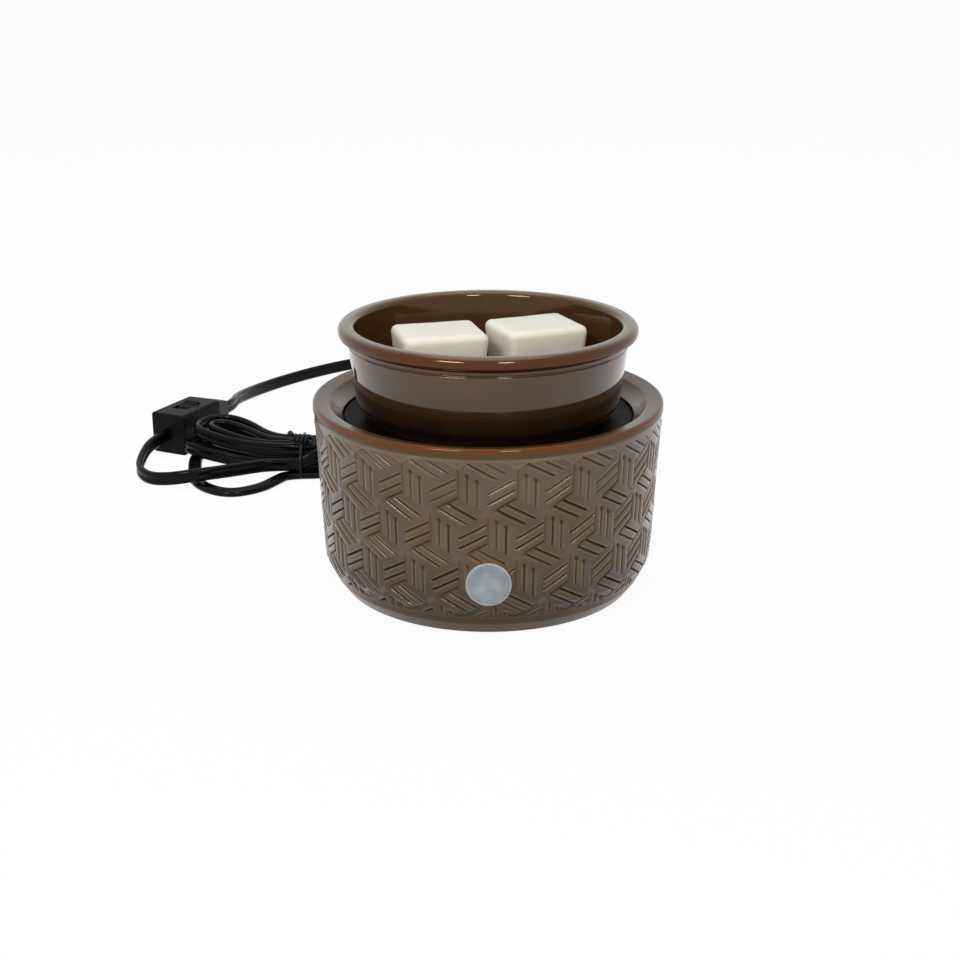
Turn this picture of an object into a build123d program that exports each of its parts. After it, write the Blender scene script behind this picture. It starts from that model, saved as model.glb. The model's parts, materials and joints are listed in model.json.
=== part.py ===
from build123d import *
import math
import os

# Wax melt warmer, in millimetres. Origin on the floor under the middle of the base, +Z up, front towards -Y.

# Ceramic base
foot_lift = 0.8
ceramic_height = 65.8
rim_radius = 60.0
rim_band = 4.6
rim_round = 1.6
rim_overhang = 0.4
body_taper = 2.4
chamfer_height = 10.85
chamfer_inset = 3.3
foot_band_height = 4.2
foot_inset = 3.0
ceramic_wall = 5.2
rim_width = 5.8
mouth_slope_height = 3.2
mouth_slope_inset = 1.9
mouth_step = 2.3
ledge_width = 4.0
ledge_thickness = 4.0
ledge_slope = 6.0
cover_recess_depth = 3.6
cover_lip_height = 4.0
cover_lip_width = 2.4
foot_ring_width = 3.5
foot_edge_round = 0.6
foot_band_round = 1.0
chamfer_round = 3.0
mouth_round = 1.2
mouth_foot_round = 0.8
bore_edge_round = 0.6
ledge_round = 0.4
recess_round = 0.5

# Relief of tumbling blocks: rows of hexagons, three rhombic faces each, two grooves in every face
block_count = 20
block_front = -90.6
block_row_top = 54.6
block_row_step = 15.33
block_rows = 4
groove_width = 1.3
groove_depth = 0.8
groove_length = 7.8
groove_lowest = 10.0
groove_highest = 60.0
groove_clear = 4.4

# Hot plate and heater
well_depth = 6.1
plate_gap = 0.4
plate_thickness = 2.5
gasket_thickness = 1.0
gasket_width = 3.0
element_margin = 19.6
element_thickness = 3.0
element_tab_reach = 6.0
element_tab_width = 6.0
element_tab_thickness = 1.0
element_tab_angle = 45.0
insulation_margin = 1.0
insulation_thickness = 4.0
bracket_width = 14.0
bracket_thickness = 1.2
bracket_stud_margin = 6.0
bracket_end = 6.0
stud_radius = 2.0
stud_tip = 1.0
nut_across_flats = 7.0
nut_height = 3.2
fuse_radius = 2.0
fuse_length = 11.0
fuse_place = -14.0
clip_wall = 0.9
clip_length = 5.0

# Posts, bottom cover and feet
post_count = 3
post_inset = 8.4
post_radius = 3.5
post_hole_depth = 10.0
screw_radius = 1.5
screw_head_radius = 2.8
screw_head_height = 1.8
screw_reach = 8.0
cover_thickness = 2.2
cover_boss_radius = 4.5
cover_boss_height = 3.0
vent_count = 8
vent_length = 14.0
vent_width = 3.0
vent_circle = 24.0
foot_count = 4
foot_place_inset = 8.4
foot_radius = 5.0
foot_peg_radius = 1.6
foot_barb_radius = 2.2
foot_barb_height = 1.0

# Indicator light
lens_height = 20.7
lens_radius = 7.35
lens_edge = 1.4
lens_dome = 1.2
lens_neck_radius = 5.0
lens_neck_inside = 5.0
lens_bore_radius = 3.6
retainer_width = 2.5
retainer_thickness = 1.5
lamp_holder_wall = 1.2
lamp_holder_length = 12.0
lamp_radius = 2.5
lamp_tip_gap = 1.0

# Dish and wax
dish_height = 31.9
dish_foot_radius = 41.0
dish_foot_round = 4.2
dish_shoulder_radius = 45.0
dish_shoulder_height = 5.0
dish_neck_radius = 47.4
dish_rim_overhang = 3.3
dish_rim_height = 4.2
dish_rim_round = 2.05
dish_neck_drop = 2.2
dish_wall = 3.0
dish_floor = 4.0
dish_corner_round = 3.0
dish_base_round = 0.8
dish_neck_round = 1.0
dish_rim_step = 0.6
dish_step_round = 0.2
wax_width = 30.0
wax_depth = 25.0
wax_height = 23.5
wax_draft = 2.0
wax_corner_round = 3.5
wax_edge_round = 2.4
wax_left_place = (-17.0, 6.2)
wax_left_turn = 15.0
wax_right_place = (17.0, 16.0)
wax_right_turn = 23.0

# Cord entry
cord_width = 5.8
cord_thickness = 2.9
gland_height = 22.0
gland_flange_radius = 8.0
gland_flange_thickness = 2.0
gland_neck_radius = 5.2
gland_root_radius = 6.2
gland_tip_radius = 4.2
gland_length = 24.0
gland_ring_width = 2.4
gland_ring_thickness = 2.2
clamp_setback = 16.0
clamp_width = 20.0
clamp_length = 8.0
clamp_cap_height = 5.2
clamp_screw_spacing = 14.0
clamp_screw_radius = 1.25
clamp_head_radius = 2.3
clamp_head_height = 1.4
clamp_screw_reach = 7.0
inner_cord_tail = 3.0

# Wiring
block_setback = 21.0
block_width = 20.0
block_length = 12.0
block_height = 12.0
block_pole_spacing = 8.0
wire_radius = 0.9
core_straight_share = 0.3
heater_lead_share = 0.5
heater_lead_rise = 8.0
fuse_lead_stub = 7.0
fuse_lead_bow = 8.0
fuse_lead_set = 6.0
fuse_lead_rise = 14.0
fuse_lead_dip = 8.0
fuse_lead_swing = 12.0
fuse_stub = 6.0
fuse_tail_stub = 4.0
fuse_tail_swing = 2.0
fuse_tail_dip = 3.0
fuse_tail_turn = 2.0
lamp_lead_share = 0.6
lamp_lead_stub = 7.0
lamp_lead_end = 9.0

# Inline switch
switch_end = (-140.0, 134.5)
switch_turn = 64.5
switch_length = 41.5
switch_width = 17.2
switch_height = 18.3
switch_wall = 1.6
switch_edge_round = 1.4
switch_end_round = 0.8
switch_neck_length = 14.3
switch_neck_width = 6.6
switch_neck_drop = 4.6
rocker_place = 14.5
rocker_radius = 5.5
rocker_width = 7.0
rocker_rise = 30.0
rocker_dip = 1.6
rocker_skirt = 1.5
rocker_tilt = -10.0
pin_radius = 1.0
pin_lug_width = 1.8
pin_lug_drop = 1.6
pin_depth = 2.4
terminal_width = 3.0
terminal_thickness = 0.8
terminal_height = 6.0
terminal_spacing = 8.4
leaf_thickness = 0.5
leaf_width = 3.0
shell_screw_radius = 1.0
shell_screw_head_radius = 1.8
shell_screw_head_height = 1.4
shell_screw_reach = 5.0
shell_boss_radius = 2.4

# Plug
plug_width = 24.0
plug_thickness = 14.0
plug_length = 22.0
plug_round = 3.0
plug_relief_length = 11.0
plug_relief_width = 9.0
plug_relief_tip_width = 5.4
plug_relief_height = 8.6
plug_relief_tip_height = 7.6
plug_relief_round = 1.2
blade_spacing = 12.7
blade_width = 6.35
blade_thickness = 1.5
blade_length = 16.0
blade_root = 10.0

# Hank: columns side by side at the tie, two layers high
tie_place = (-78.0, 111.0)
hank_columns = 5
hank_column_step = 3.8
hank_layer_step = 6.4
hank_waist_half = 6.0
tie_radius = 0.6
tie_slack = 0.3
tie_twist_radius = 0.9
tie_twist_length = 9.0
tie_twist_set = 2.0
tie_twist_rise = 1.5
gap_step = 1.5
gap_apart = 16.0
floor_gap = 0.05

# Clearances
slip = 0.1
press = 0.02
running = 0.05
seat_depth = 0.9
inner_flat_bite = 0.5
shake = 0.3
arc_share = 0.45

# Levels that follow from the sizes above
ceramic_bottom = foot_lift
rim_top = ceramic_bottom + ceramic_height
rim_bottom = rim_top - rim_band
chamfer_top = ceramic_bottom + chamfer_height
foot_band_top = ceramic_bottom + foot_band_height
body_top_radius = rim_radius - rim_overhang
body_low_radius = body_top_radius - body_taper
foot_band_radius = body_low_radius - chamfer_inset
foot_radius_outer = foot_band_radius - foot_inset
mouth_radius = rim_radius - rim_width
plate_top = rim_top - well_depth
plate_bottom = plate_top - plate_thickness
ledge_top = plate_bottom - gasket_thickness
ledge_bottom = ledge_top - ledge_thickness
plate_bore = mouth_radius - mouth_slope_inset - mouth_step
plate_radius = plate_bore - plate_gap
ledge_radius = plate_bore - ledge_width
cover_top = ceramic_bottom + cover_recess_depth
cover_bottom = cover_top - cover_thickness
cover_bore = foot_radius_outer - foot_ring_width
cover_lip_radius = cover_bore - cover_lip_width
post_circle = cover_bore - post_inset
foot_circle = cover_bore - foot_place_inset
element_radius = plate_radius - element_margin
bracket_stud_circle = element_radius + bracket_stud_margin
element_bottom = plate_bottom - element_thickness
insulation_bottom = element_bottom - insulation_thickness
bracket_bottom = insulation_bottom - bracket_thickness
nut_bottom = bracket_bottom - nut_height
boss_top = cover_top + cover_boss_height
dish_bottom = plate_top
dish_top = dish_bottom + dish_height
dish_rim_radius = dish_neck_radius + dish_rim_overhang
cord_floor = cord_width / 2 + floor_gap
os.makedirs("parts", exist_ok=True)


def save(part, name):
    part.label = name
    export_step(part, f"parts/{name}.step")


def turned(corners):
    """A solid of revolution about Z from (radius, height, rounding) corners."""
    places = [(r, z) for r, z, _ in corners]
    rounds = [rounding for _, _, rounding in corners]
    outline = FilletPolyline(*places, radius=rounds, close=True)
    return revolve(Plane.XZ * make_face(outline), axis=Axis.Z)


def drum(radius, low, high, place=(0, 0)):
    """An upright cylinder between two levels."""
    return extrude(Pos(place[0], place[1], low) * Circle(radius), amount=high - low)


def rod(radius, start, end):
    """A cylinder between two points."""
    span = Vector(end) - Vector(start)
    plane = Plane(origin=start, z_dir=span)
    return extrude(plane * Circle(radius), amount=span.length)


def block(low, high):
    """A box between two corners."""
    size = [b - a for a, b in zip(low, high)]
    return Pos(*low) * Box(*size, align=(Align.MIN, Align.MIN, Align.MIN))


def ring_places(count, radius, first=0.0):
    """Points evenly spaced round the axis."""
    turns = [math.radians(first + 360.0 * i / count) for i in range(count)]
    return [(radius * math.cos(t), radius * math.sin(t)) for t in turns]


def outer_radius(height):
    """The radius of the body's outside between chamfer and rim."""
    share = (height - chamfer_top) / (rim_bottom - chamfer_top)
    return body_low_radius + body_taper * share


def inner_radius(height):
    return outer_radius(height) - ceramic_wall


# Where lens and gland sit on the wall: outer and inner flat faces, as distances from the axis
lens_seat = outer_radius(lens_height) - seat_depth
lens_flat = inner_radius(lens_height) + inner_flat_bite
gland_seat = outer_radius(gland_height) - seat_depth
gland_flat = inner_radius(gland_height) + inner_flat_bite
gland_tip = gland_seat + gland_flange_thickness + gland_length


def cord_section(place, direction, grow=0.0):
    """The flat lead standing on edge, square to its direction."""
    plane = Plane(origin=place, x_dir=(0, 0, 1), z_dir=direction)
    return plane * SlotOverall(cord_width + 2 * grow, cord_thickness + 2 * grow)


def bend_radii(points):
    """The largest arcs that the runs of a route allow."""
    radii = []
    for before, here, after in zip(points, points[1:], points[2:]):
        run_in = Vector(here) - Vector(before)
        run_out = Vector(after) - Vector(here)
        turn = math.radians(run_in.get_angle(run_out))
        radii.append(arc_share * min(run_in.length, run_out.length) / math.tan(turn / 2))
    return radii


def cord_tube(name, points):
    """A flat lead along a route of straight runs and tangent arcs."""
    radii = bend_radii(points)
    route = FilletPolyline(*points, radius=radii)
    section = cord_section(route @ 0, route % 0)
    tube = sweep(section, path=route)
    share = tube.volume / (section.area * route.length)
    print(f"{name}: {route.length:.0f} mm, volume {share:.4f} of section by length")
    print("  radii", " ".join(f"{r:.0f}" for r in radii))
    return tube


def wire_tube(points):
    """A single insulated wire along a route."""
    route = FilletPolyline(*points, radius=bend_radii(points))
    return sweep(Plane(origin=route @ 0, z_dir=route % 0) * Circle(wire_radius), path=route)


def groove_cutter(turn, level, slope):
    """A bar that cuts one groove, set square to the wall."""
    bar = Box(2 * groove_depth, groove_length, groove_width)
    return Rot(0, 0, turn) * Pos(outer_radius(level), 0, level) * Rot(slope, 0, 0) * bar


def groove_places():
    """Each groove's turn round the axis, its level and its slope."""
    side = block_row_step / 1.5
    width = 360.0 / block_count
    lean = math.degrees(math.atan2(side / 2, math.radians(width / 2) * body_top_radius))
    faces = [
        ((0.0, side / 2), (0.0, side / 6), -lean),
        ((-width / 4, -side / 4), (width / 12, 0.0), 90.0),
        ((width / 4, -side / 4), (0.0, side / 6), lean),
    ]
    for row in range(block_rows):
        for index in range(block_count):
            turn = width * (index + row % 2 / 2) + block_front
            level = block_row_top - block_row_step * row
            for (across, up), (aside, above), slope in faces:
                yield turn + across - aside, level + up - above, slope
                yield turn + across + aside, level + up + above, slope


def relief_cutters():
    """The grooves that stay clear of the lens, the gland and the plain bands."""
    cutters = []
    for turn, level, slope in groove_places():
        x = outer_radius(level) * math.cos(math.radians(turn))
        y = outer_radius(level) * math.sin(math.radians(turn))
        middle, hole = (lens_height, lens_radius) if y < 0 else (gland_height, gland_flange_radius)
        clear = math.hypot(x, level - middle) > hole + groove_clear
        if clear and groove_lowest < level < groove_highest:
            cutters.append(groove_cutter(turn, level, slope))
    return cutters


def ceramic_base():
    wall_top = ledge_bottom - ledge_slope
    lip_top = cover_top + cover_lip_height
    low_inside = chamfer_top + shake
    corners = [
        (foot_radius_outer, ceramic_bottom, foot_edge_round),
        (foot_band_radius, foot_band_top, foot_band_round),
        (body_low_radius, chamfer_top, chamfer_round),
        (body_top_radius, rim_bottom, 0),
        (rim_radius, rim_bottom + rim_overhang, 0),
        (rim_radius, rim_top, rim_round),
        (mouth_radius, rim_top, mouth_round),
        (mouth_radius - mouth_slope_inset, rim_top - mouth_slope_height, mouth_foot_round),
        (plate_bore, plate_top + plate_gap, bore_edge_round),
        (plate_bore, ledge_top, 0),
        (ledge_radius, ledge_top, ledge_round),
        (ledge_radius, ledge_bottom, 0),
        (inner_radius(wall_top), wall_top, 0),
        (inner_radius(low_inside), low_inside, 0),
        (cover_lip_radius, lip_top, 0),
        (cover_lip_radius, cover_top, 0),
        (cover_bore, cover_top, 0),
        (cover_bore, ceramic_bottom, recess_round),
    ]
    body = turned(corners)
    lens_flat_radius = lens_neck_radius + retainer_width + 2 * shake
    gland_flat_radius = gland_neck_radius + gland_ring_width + 2 * shake
    body -= rod(lens_neck_radius + slip, (0, -rim_radius, lens_height), (0, 0, lens_height))
    body -= rod(lens_radius + slip, (0, -rim_radius, lens_height), (0, -lens_seat, lens_height))
    body -= rod(lens_flat_radius, (0, -lens_flat, lens_height), (0, 0, lens_height))
    body -= rod(gland_neck_radius + slip, (0, rim_radius, gland_height), (0, 0, gland_height))
    body -= rod(gland_flange_radius + slip, (0, rim_radius, gland_height), (0, gland_seat, gland_height))
    body -= rod(gland_flat_radius, (0, gland_flat, gland_height), (0, 0, gland_height))
    return body - relief_cutters()


def wax_dish():
    shoulder = dish_bottom + dish_shoulder_height
    rim_low = dish_top - dish_rim_height
    neck = rim_low - dish_neck_drop
    slope = (dish_neck_radius - dish_shoulder_radius) / (neck - shoulder)
    floor = dish_bottom + dish_floor
    inner_floor = dish_shoulder_radius - dish_wall + slope * (floor - shoulder)
    inner_top = dish_neck_radius - dish_wall + slope * (dish_top - neck)
    corners = [
        (0, dish_bottom, 0),
        (dish_foot_radius, dish_bottom, dish_base_round),
        (dish_shoulder_radius, shoulder, dish_foot_round),
        (dish_neck_radius, neck, dish_neck_round),
        (dish_neck_radius + dish_rim_step, rim_low, dish_step_round),
        (dish_rim_radius, rim_low, dish_rim_round),
        (dish_rim_radius, dish_top, dish_rim_round),
        (inner_top, dish_top, dish_rim_round),
        (inner_floor, floor, dish_corner_round),
        (0, floor, 0),
    ]
    return turned(corners)


def wax_cube(place, turn):
    """A cube of wax, wider at the top as it comes from its tray, lying on the dish floor."""
    foot = RectangleRounded(wax_width - 2 * wax_draft, wax_depth - 2 * wax_draft, wax_corner_round)
    head = RectangleRounded(wax_width, wax_depth, wax_corner_round)
    cube = loft([foot, Pos(0, 0, wax_height) * head])
    cube = fillet(cube.edges().group_by(Axis.Z)[-1], wax_edge_round)
    cube = fillet(cube.edges().group_by(Axis.Z)[0], wax_edge_round / 2)
    return Pos(place[0], place[1], dish_bottom + dish_floor) * Rot(0, 0, turn) * cube


stud_places = [(0, bracket_stud_circle), (0, -bracket_stud_circle)]
post_places = ring_places(post_count, post_circle)


def hot_plate():
    plate = drum(plate_radius, plate_bottom, plate_top)
    plate = chamfer(plate.edges().group_by(Axis.Z)[-1], plate_gap)
    for place in stud_places:
        plate += drum(stud_radius, nut_bottom - stud_tip, plate_bottom, place)
    for place in post_places:
        plate += drum(screw_radius, plate_bottom - screw_reach, plate_bottom, place)
    return plate


def plate_gasket():
    gasket_inner = plate_radius - gasket_width
    return drum(plate_radius, ledge_top, plate_bottom) - drum(gasket_inner, ledge_top, plate_bottom)


tab_places = [math.radians(turn) for turn in (element_tab_angle, -element_tab_angle)]
tab_radius = element_radius + insulation_margin + element_tab_reach / 2


def heater_element():
    element = drum(element_radius, element_bottom, plate_bottom)
    tab_length = insulation_margin + element_tab_reach
    tab = block(
        (element_radius - tab_length, -element_tab_width / 2, element_bottom),
        (element_radius + tab_length, element_tab_width / 2, element_bottom + element_tab_thickness),
    )
    for turn in tab_places:
        element += Rot(0, 0, math.degrees(turn)) * tab
    return element


def heater_insulation():
    return drum(element_radius + insulation_margin, insulation_bottom, element_bottom)


def heater_bracket():
    reach = bracket_stud_circle + bracket_end
    bar = block((-bracket_width / 2, -reach, bracket_bottom), (bracket_width / 2, reach, insulation_bottom))
    for place in stud_places:
        bar -= drum(stud_radius + slip, bracket_bottom, insulation_bottom, place)
    return bar


def bracket_nuts():
    nuts = []
    for x, y in stud_places:
        flat = RegularPolygon(nut_across_flats / 2, 6, major_radius=False)
        nut = extrude(Pos(x, y, nut_bottom) * flat, amount=nut_height)
        nuts.append(nut - drum(stud_radius + press, nut_bottom, bracket_bottom, (x, y)))
    return Compound(children=nuts)


fuse_level = bracket_bottom - clip_wall - fuse_radius


def thermal_fuse():
    near = fuse_place + fuse_length / 2
    far = fuse_place - fuse_length / 2
    return rod(fuse_radius, (0, far, fuse_level), (0, near, fuse_level))


def fuse_clip():
    half = fuse_radius + clip_wall
    near = fuse_place + clip_length / 2
    far = fuse_place - clip_length / 2
    clip = block((-half, far, fuse_level - half), (half, near, bracket_bottom))
    return clip - rod(fuse_radius + press, (0, far, fuse_level), (0, near, fuse_level))


def standoff_posts():
    posts = []
    for place in post_places:
        post = drum(post_radius, boss_top, plate_bottom, place)
        post -= drum(screw_radius + press, boss_top, boss_top + post_hole_depth, place)
        post -= drum(screw_radius + press, plate_bottom - post_hole_depth, plate_bottom, place)
        posts.append(post)
    return Compound(children=posts)


screw_head_top = cover_bottom + screw_head_height + slip


def bottom_cover():
    cover = drum(cover_bore - slip, cover_bottom, cover_top)
    for place in post_places:
        cover += drum(cover_boss_radius, cover_top, boss_top, place)
        cover -= drum(screw_radius + slip, cover_bottom, boss_top, place)
        cover -= drum(screw_head_radius + slip, cover_bottom, screw_head_top, place)
    for x, y in ring_places(foot_count, foot_circle, 45.0):
        cover -= drum(foot_peg_radius + press, cover_bottom, cover_top, (x, y))
    for i in range(vent_count):
        slot = Pos(vent_circle, 0, cover_bottom) * SlotOverall(vent_length, vent_width)
        cover -= Rot(0, 0, 360.0 * (i + 0.5) / vent_count) * extrude(slot, amount=cover_thickness)
    return cover


def cover_screws():
    screws = []
    for place in post_places:
        head = drum(screw_head_radius, screw_head_top - screw_head_height, screw_head_top, place)
        screws.append(head + drum(screw_radius, screw_head_top, boss_top + screw_reach, place))
    return Compound(children=screws)


def rubber_feet():
    feet = []
    for place in ring_places(foot_count, foot_circle, 45.0):
        foot = drum(foot_radius, 0, cover_bottom, place)
        foot += drum(foot_peg_radius, cover_bottom, cover_top + foot_barb_height, place)
        foot += drum(foot_barb_radius, cover_top, cover_top + foot_barb_height, place)
        feet.append(foot)
    return Compound(children=feet)


lens_neck_end = lens_flat - lens_neck_inside
holder_end = lens_neck_end - lamp_holder_length


def along_front(radius, start, end):
    """A round piece on the lens axis, between two distances from the middle of the base."""
    return rod(radius, (0, -start, lens_height), (0, -end, lens_height))


def indicator_lens():
    edge = lens_seat + lens_edge
    lens = along_front(lens_radius, lens_seat, edge)
    ball_radius = (lens_radius**2 + lens_dome**2) / (2 * lens_dome)
    ball = Pos(0, -(edge + lens_dome - ball_radius), lens_height) * Sphere(ball_radius)
    lens += ball & along_front(lens_radius, lens_seat, edge + 2 * lens_dome)
    lens += along_front(lens_neck_radius, lens_neck_end, lens_seat)
    return lens - along_front(lens_bore_radius, lens_neck_end, lens_seat)


def lens_retainer():
    inner_face = lens_flat - retainer_thickness
    ring = along_front(lens_neck_radius + retainer_width, inner_face, lens_flat)
    return ring - along_front(lens_neck_radius + press, inner_face, lens_flat)


def lamp_holder():
    mouth = lens_flat - retainer_thickness
    holder = along_front(lens_neck_radius + lamp_holder_wall, holder_end, mouth)
    holder -= along_front(lens_neck_radius + press, lens_neck_end, mouth)
    holder -= along_front(lens_bore_radius, holder_end + lamp_holder_wall, mouth)
    return holder


def indicator_lamp():
    tip = lens_seat - lamp_tip_gap
    base = holder_end + lamp_holder_wall
    lamp = along_front(lamp_radius, base, tip - lamp_radius)
    return lamp + Pos(0, -(tip - lamp_radius), lens_height) * Sphere(lamp_radius)


def flat_lead_rod(start, end):
    """A straight stretch of the flat lead along Y at the height of the gland."""
    return extrude(cord_section((0, start, gland_height), (0, 1, 0)), amount=end - start)


def lead_hole(start, end):
    return extrude(cord_section((0, start, gland_height), (0, 1, 0), press), amount=end - start)


def along_back(radius, start, end):
    return rod(radius, (0, start, gland_height), (0, end, gland_height))


gland_inside = gland_flat - gland_ring_thickness


def cord_gland():
    flange_out = gland_seat + gland_flange_thickness
    gland = along_back(gland_flange_radius, gland_seat, flange_out)
    gland += along_back(gland_neck_radius, gland_inside, gland_seat)
    root = Plane(origin=(0, flange_out, gland_height), z_dir=(0, 1, 0)) * Circle(gland_root_radius)
    tip = Plane(origin=(0, gland_tip, gland_height), z_dir=(0, 1, 0)) * Circle(gland_tip_radius)
    gland += loft([root, tip])
    return gland - lead_hole(gland_inside, gland_tip)


def gland_ring():
    ring = along_back(gland_neck_radius + gland_ring_width, gland_inside, gland_flat)
    return ring - along_back(gland_neck_radius + press, gland_inside, gland_flat)


clamp_place = gland_flat - clamp_setback
block_place = clamp_place - block_setback
clamp_near = clamp_place - clamp_length / 2
clamp_far = clamp_place + clamp_length / 2
inner_cord_end = clamp_near - inner_cord_tail
clamp_top = gland_height + clamp_cap_height
clamp_screw_places = [(-clamp_screw_spacing / 2, clamp_place), (clamp_screw_spacing / 2, clamp_place)]


def inner_cord():
    return flat_lead_rod(inner_cord_end, gland_tip)


def cord_clamp():
    lower = block((-clamp_width / 2, clamp_near, cover_top), (clamp_width / 2, clamp_far, gland_height))
    for place in clamp_screw_places:
        lower -= drum(clamp_screw_radius + press, gland_height - clamp_screw_reach, gland_height, place)
    return lower - lead_hole(clamp_near, clamp_far)


def clamp_cap():
    cap = block((-clamp_width / 2, clamp_near, gland_height), (clamp_width / 2, clamp_far, clamp_top))
    for place in clamp_screw_places:
        cap -= drum(clamp_screw_radius + slip, gland_height, clamp_top, place)
    return cap - lead_hole(clamp_near, clamp_far)


def clamp_screws():
    screws = []
    for place in clamp_screw_places:
        shank = drum(clamp_screw_radius, gland_height - clamp_screw_reach, clamp_top, place)
        screws.append(shank + drum(clamp_head_radius, clamp_top, clamp_top + clamp_head_height, place))
    return Compound(children=screws)


block_near = block_place - block_length / 2
block_far = block_place + block_length / 2
pole_level = cover_top + block_height / 2
pole_offset = block_pole_spacing / 2


def terminal_block():
    return block(
        (-block_width / 2, block_near, cover_top),
        (block_width / 2, block_far, cover_top + block_height),
    )


def cord_cores():
    """The two conductors from the end of the lead to the terminal block."""
    lobe = (cord_width - cord_thickness) / 2
    gap = inner_cord_end - block_far
    cores = []
    for side in (1, -1):
        level = gland_height + side * lobe
        points = [
            (0, inner_cord_end, level),
            (0, inner_cord_end - core_straight_share * gap, level),
            (side * pole_offset, block_far + core_straight_share * gap, pole_level),
            (side * pole_offset, block_far, pole_level),
        ]
        cores.append(wire_tube(points))
    return Compound(children=cores)


def tab_place(index):
    turn = tab_places[index]
    return (tab_radius * math.cos(turn), tab_radius * math.sin(turn))


def heater_lead():
    """From the terminal block up to the first tab of the heater."""
    x, y = tab_place(0)
    side = block_width / 2
    return wire_tube([
        (side, block_place, pole_level),
        (side + heater_lead_share * (x - side), block_place, pole_level),
        (x, y, pole_level + heater_lead_rise),
        (x, y, element_bottom),
    ])


def fuse_lead():
    """From the terminal block up to the near end of the thermal fuse."""
    side = -block_width / 2
    end = fuse_place + fuse_length / 2
    return wire_tube([
        (side, block_place, pole_level),
        (side - fuse_lead_stub, block_place, pole_level),
        (side - fuse_lead_bow, block_place - fuse_lead_set, pole_level + fuse_lead_rise),
        (side, end + fuse_lead_swing, fuse_level - fuse_lead_dip),
        (0, end + fuse_stub, fuse_level),
        (0, end, fuse_level),
    ])


def fuse_tail():
    """From the far end of the thermal fuse to the second tab of the heater."""
    x, y = tab_place(1)
    end = fuse_place - fuse_length / 2
    return wire_tube([
        (0, end, fuse_level),
        (0, end - fuse_tail_stub, fuse_level),
        (x / 2, y - fuse_tail_swing, fuse_level - fuse_tail_dip),
        (x, y, fuse_level - fuse_tail_turn),
        (x, y, element_bottom),
    ])


def lamp_leads():
    leads = []
    for side in (1, -1):
        near = side * lamp_radius * lamp_lead_share
        points = [
            (near, -holder_end, lens_height),
            (near, -holder_end + lamp_lead_stub, lens_height),
            (side * pole_offset, block_near - lamp_lead_end, pole_level),
            (side * pole_offset, block_near, pole_level),
        ]
        leads.append(wire_tube(points))
    return Compound(children=leads)


# The switch is drawn along +X from its near end, then turned to where it lies on the cord
switch_frame = Pos(switch_end[0], switch_end[1], 0) * Rot(0, 0, switch_turn)
switch_mid = switch_height / 2
pivot_level = switch_height - pin_depth
floor_inside = switch_wall


def switch_point(along, across, level):
    turn = math.radians(switch_turn)
    return (
        switch_end[0] + along * math.cos(turn) - across * math.sin(turn),
        switch_end[1] + along * math.sin(turn) + across * math.cos(turn),
        level,
    )


def switch_outside():
    """The closed outer form: a block with a narrower, lower neck at the far end."""
    block_end = switch_length - switch_neck_length
    body = block((0, -switch_width / 2, 0), (block_end, switch_width / 2, switch_height))
    body = fillet(body.edges().filter_by(Axis.X), switch_edge_round)
    body = fillet(body.edges().group_by(Axis.X)[0], switch_end_round)
    wide = Plane(origin=(block_end, 0, switch_mid), x_dir=(0, 1, 0), z_dir=(1, 0, 0))
    narrow = Plane(origin=(switch_length, 0, switch_mid), x_dir=(0, 1, 0), z_dir=(1, 0, 0))
    wide_face = wide * RectangleRounded(switch_width, switch_height, switch_edge_round)
    narrow_height = switch_height - 2 * switch_neck_drop
    narrow_face = narrow * RectangleRounded(switch_neck_width, narrow_height, switch_edge_round)
    return body + loft([wide_face, narrow_face])


def switch_hollow():
    block_end = switch_length - switch_neck_length
    side = switch_width / 2 - switch_wall
    room_end = block_end - switch_wall
    room = block((switch_wall, -side, switch_wall), (room_end, side, switch_height - switch_wall))
    entry = Plane(origin=(0, 0, switch_mid), x_dir=(0, 0, 1), z_dir=(1, 0, 0))
    slot = entry * SlotOverall(cord_width + 2 * press, cord_thickness + 2 * press)
    return room + extrude(slot, amount=switch_length)


lug_inner = rocker_width / 2 + shake
lug_outer = lug_inner + pin_lug_width
shell_screw_inset = switch_wall + shell_boss_radius + shake
shell_screw_places = [(shell_screw_inset, 0), (switch_length - switch_neck_length - shell_screw_inset, 0)]


def shell_blank():
    return switch_outside() - switch_hollow()


def switch_top_shell():
    upper = block((0, -switch_width, switch_mid), (switch_length, switch_width, switch_height))
    shell = shell_blank() & upper
    for side in (1, -1):
        low, high = sorted((side * lug_inner, side * lug_outer))
        lug_half = pin_radius + pin_lug_drop
        shell += block(
            (rocker_place - lug_half, low, pivot_level - lug_half),
            (rocker_place + lug_half, high, switch_height - switch_wall),
        )
    window = rocker_radius + shake
    shell -= block(
        (rocker_place - window, -rocker_width / 2 - shake, switch_height - switch_wall),
        (rocker_place + window, rocker_width / 2 + shake, switch_height),
    )
    shell -= rod(pin_radius, (rocker_place, -lug_outer, pivot_level), (rocker_place, lug_outer, pivot_level))
    for place in shell_screw_places:
        shell += drum(shell_boss_radius, switch_mid, switch_height - switch_wall, place)
        shell -= drum(shell_screw_radius + press, switch_mid, switch_mid + shell_screw_reach, place)
    return switch_frame * shell


def switch_bottom_shell():
    lower = block((0, -switch_width, 0), (switch_length, switch_width, switch_mid))
    shell = shell_blank() & lower
    for place in shell_screw_places:
        shell += drum(shell_boss_radius, switch_wall, switch_mid, place)
        shell -= drum(shell_screw_radius + slip, 0, switch_mid, place)
        shell -= drum(shell_screw_head_radius + slip, 0, shell_screw_head_height + slip, place)
    return switch_frame * shell


def switch_screws():
    screws = []
    seat = shell_screw_head_height + slip
    for place in shell_screw_places:
        screw = drum(shell_screw_head_radius, slip, seat, place)
        screw += drum(shell_screw_radius, seat, switch_mid + shell_screw_reach, place)
        screws.append(switch_frame * screw)
    return Compound(children=screws)


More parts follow.
